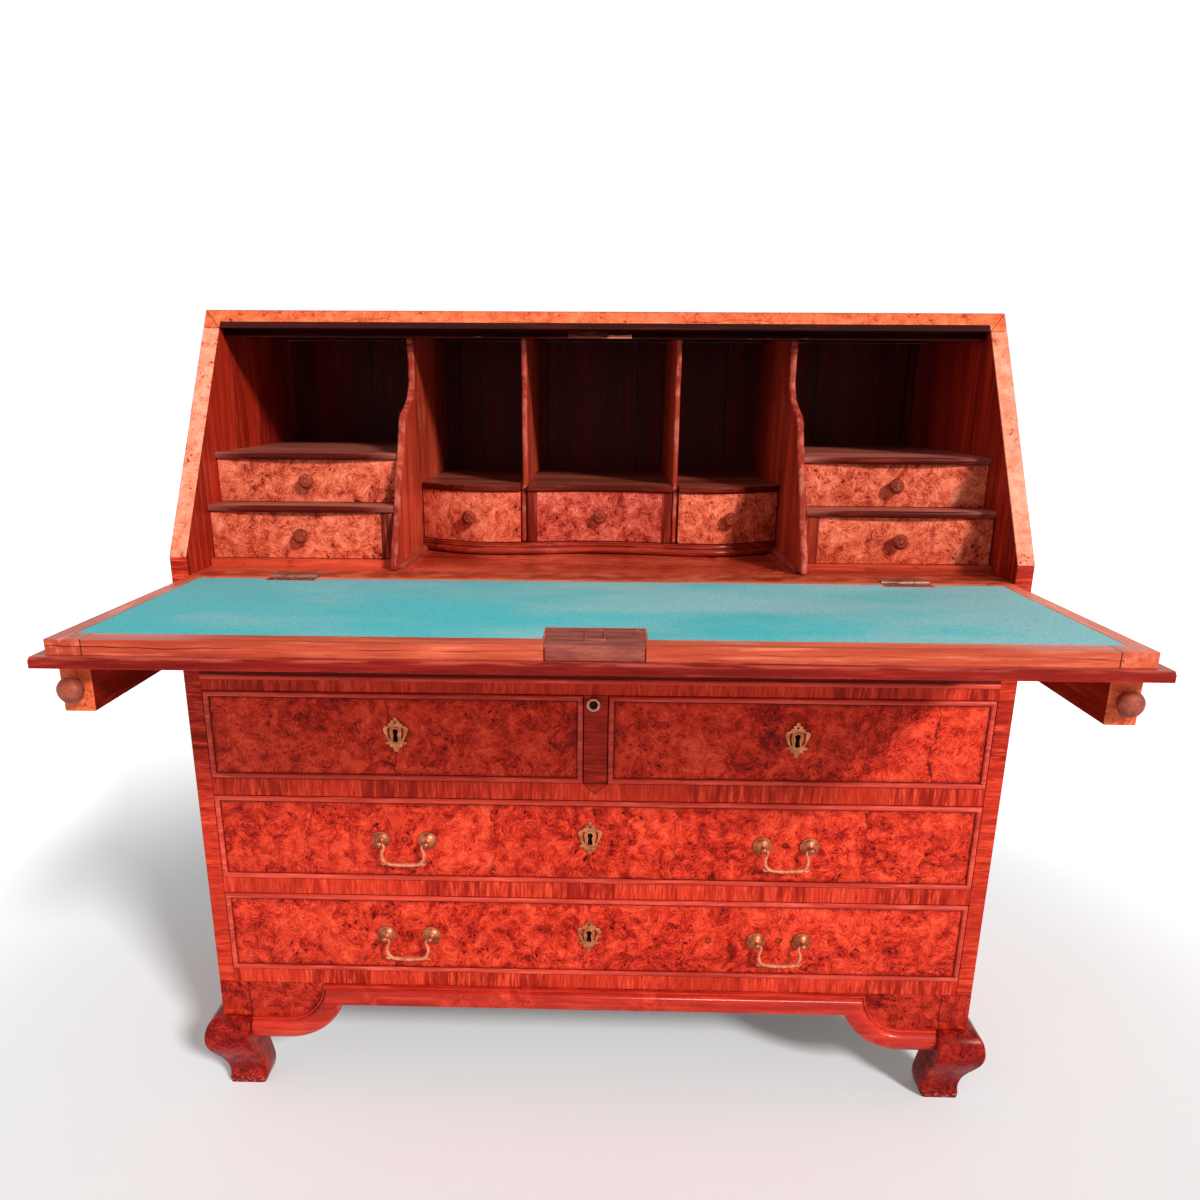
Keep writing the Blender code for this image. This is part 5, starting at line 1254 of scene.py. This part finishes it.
# The floor: one pale sheet that runs out of sight and keeps the soft shadow of the bureau. Seen by the
# eye it is lifted to white, so that it meets the white beyond it without a line.
def in_sight(tree):
    """1 where the eye meets a thing itself, straight, in a mirror or through glass, and else 0."""
    path = tree.nodes.new("ShaderNodeLightPath")
    straight, mirror, glass = [Figure(tree, path.outputs["Is " + way + " Ray"])
                               for way in ("Camera", "Glossy", "Transmission")]
    return glass.work("MAXIMUM", glass.work("MAXIMUM", straight, mirror), glass)


form = bmesh.new()
bmesh.ops.create_grid(form, x_segments=8, y_segments=8, size=40.0)
mesh = bpy.data.meshes.new("floor")
form.to_mesh(mesh)
form.free()
floor = bpy.data.objects.new("floor", mesh)
bpy.context.scene.collection.objects.link(floor)
made = bpy.data.materials.new("pale_floor")
made.use_nodes = True
tree = made.node_tree
shader = tree.nodes["Principled BSDF"]
shader.inputs["Base Color"].default_value = (0.86, 0.87, 0.87, 1.0)
shader.inputs["Roughness"].default_value = 1.0
shader.inputs["Specular IOR Level"].default_value = 0.0
seen = in_sight(tree)
away = apart(surface(tree), (0.0, 0.1, 0.0))
far_off = over(away, 0.80, 1.80)
glow = seen * (far_off * 0.60 + 0.10)
cool = seen * (far_off * 0.62 + 0.08)
lift = glow.node("ShaderNodeCombineXYZ", {0: cool, 1: glow, 2: glow})
tree.links.new(lift.socket, shader.inputs["Emission Color"])
shader.inputs["Emission Strength"].default_value = 1.0
mesh.materials.append(made)


# The light: an even white room, and one broad soft lamp high on the right in front, with a weaker one
# on the left. Seen directly the room is plain white.
world = bpy.data.worlds.new("studio")
bpy.context.scene.world = world
world.use_nodes = True
tree = world.node_tree
background = tree.nodes["Background"]
background.inputs["Color"].default_value = (1.0, 1.0, 1.0, 1.0)
tree.links.new((in_sight(tree) * 0.62 + 0.38).socket, background.inputs["Strength"])
lamps = (("key", (0.72, -1.0, 0.72), 3.15, 10.0), ("fill", (-0.9, -1.0, 0.6), 0.2, 40.0))
for name, source, strength, spread in lamps:
    lamp = bpy.data.lights.new(name, "SUN")
    lamp.energy = strength
    lamp.angle = math.radians(spread)
    holder = bpy.data.objects.new(name, lamp)
    holder.rotation_mode = "QUATERNION"
    holder.rotation_quaternion = Vector(source).to_track_quat("Z", "Y")
    bpy.context.scene.collection.objects.link(holder)


# The camera, standing a little above the fall and nearly square to the front, as in the photograph. It
# looks down a little, and its lens is shifted so that the bureau stands low in the frame.
yaw, pitch, roll = math.radians(-1.4328), math.radians(-18.8594), math.radians(0.3670)
ahead = Vector((math.sin(yaw) * math.cos(pitch), math.cos(yaw) * math.cos(pitch), math.sin(pitch)))
level = Vector((math.cos(yaw), -math.sin(yaw), 0.0))
upward = level.cross(ahead)
right = level * math.cos(roll) + upward * math.sin(roll)
upward = upward * math.cos(roll) - level * math.sin(roll)
lens = bpy.data.cameras.new("camera")
lens.lens = 31.216
lens.sensor_width = 36.0
lens.shift_x = 0.02
lens.shift_y = 0.125
camera = bpy.data.objects.new("camera", lens)
camera.matrix_world = Matrix((right, upward, -ahead)).transposed().to_4x4()
camera.location = (0.0063, -1.2079 + front, 0.9076)
bpy.context.scene.collection.objects.link(camera)
bpy.context.scene.camera = camera
bpy.context.scene.view_settings.view_transform = "Standard"
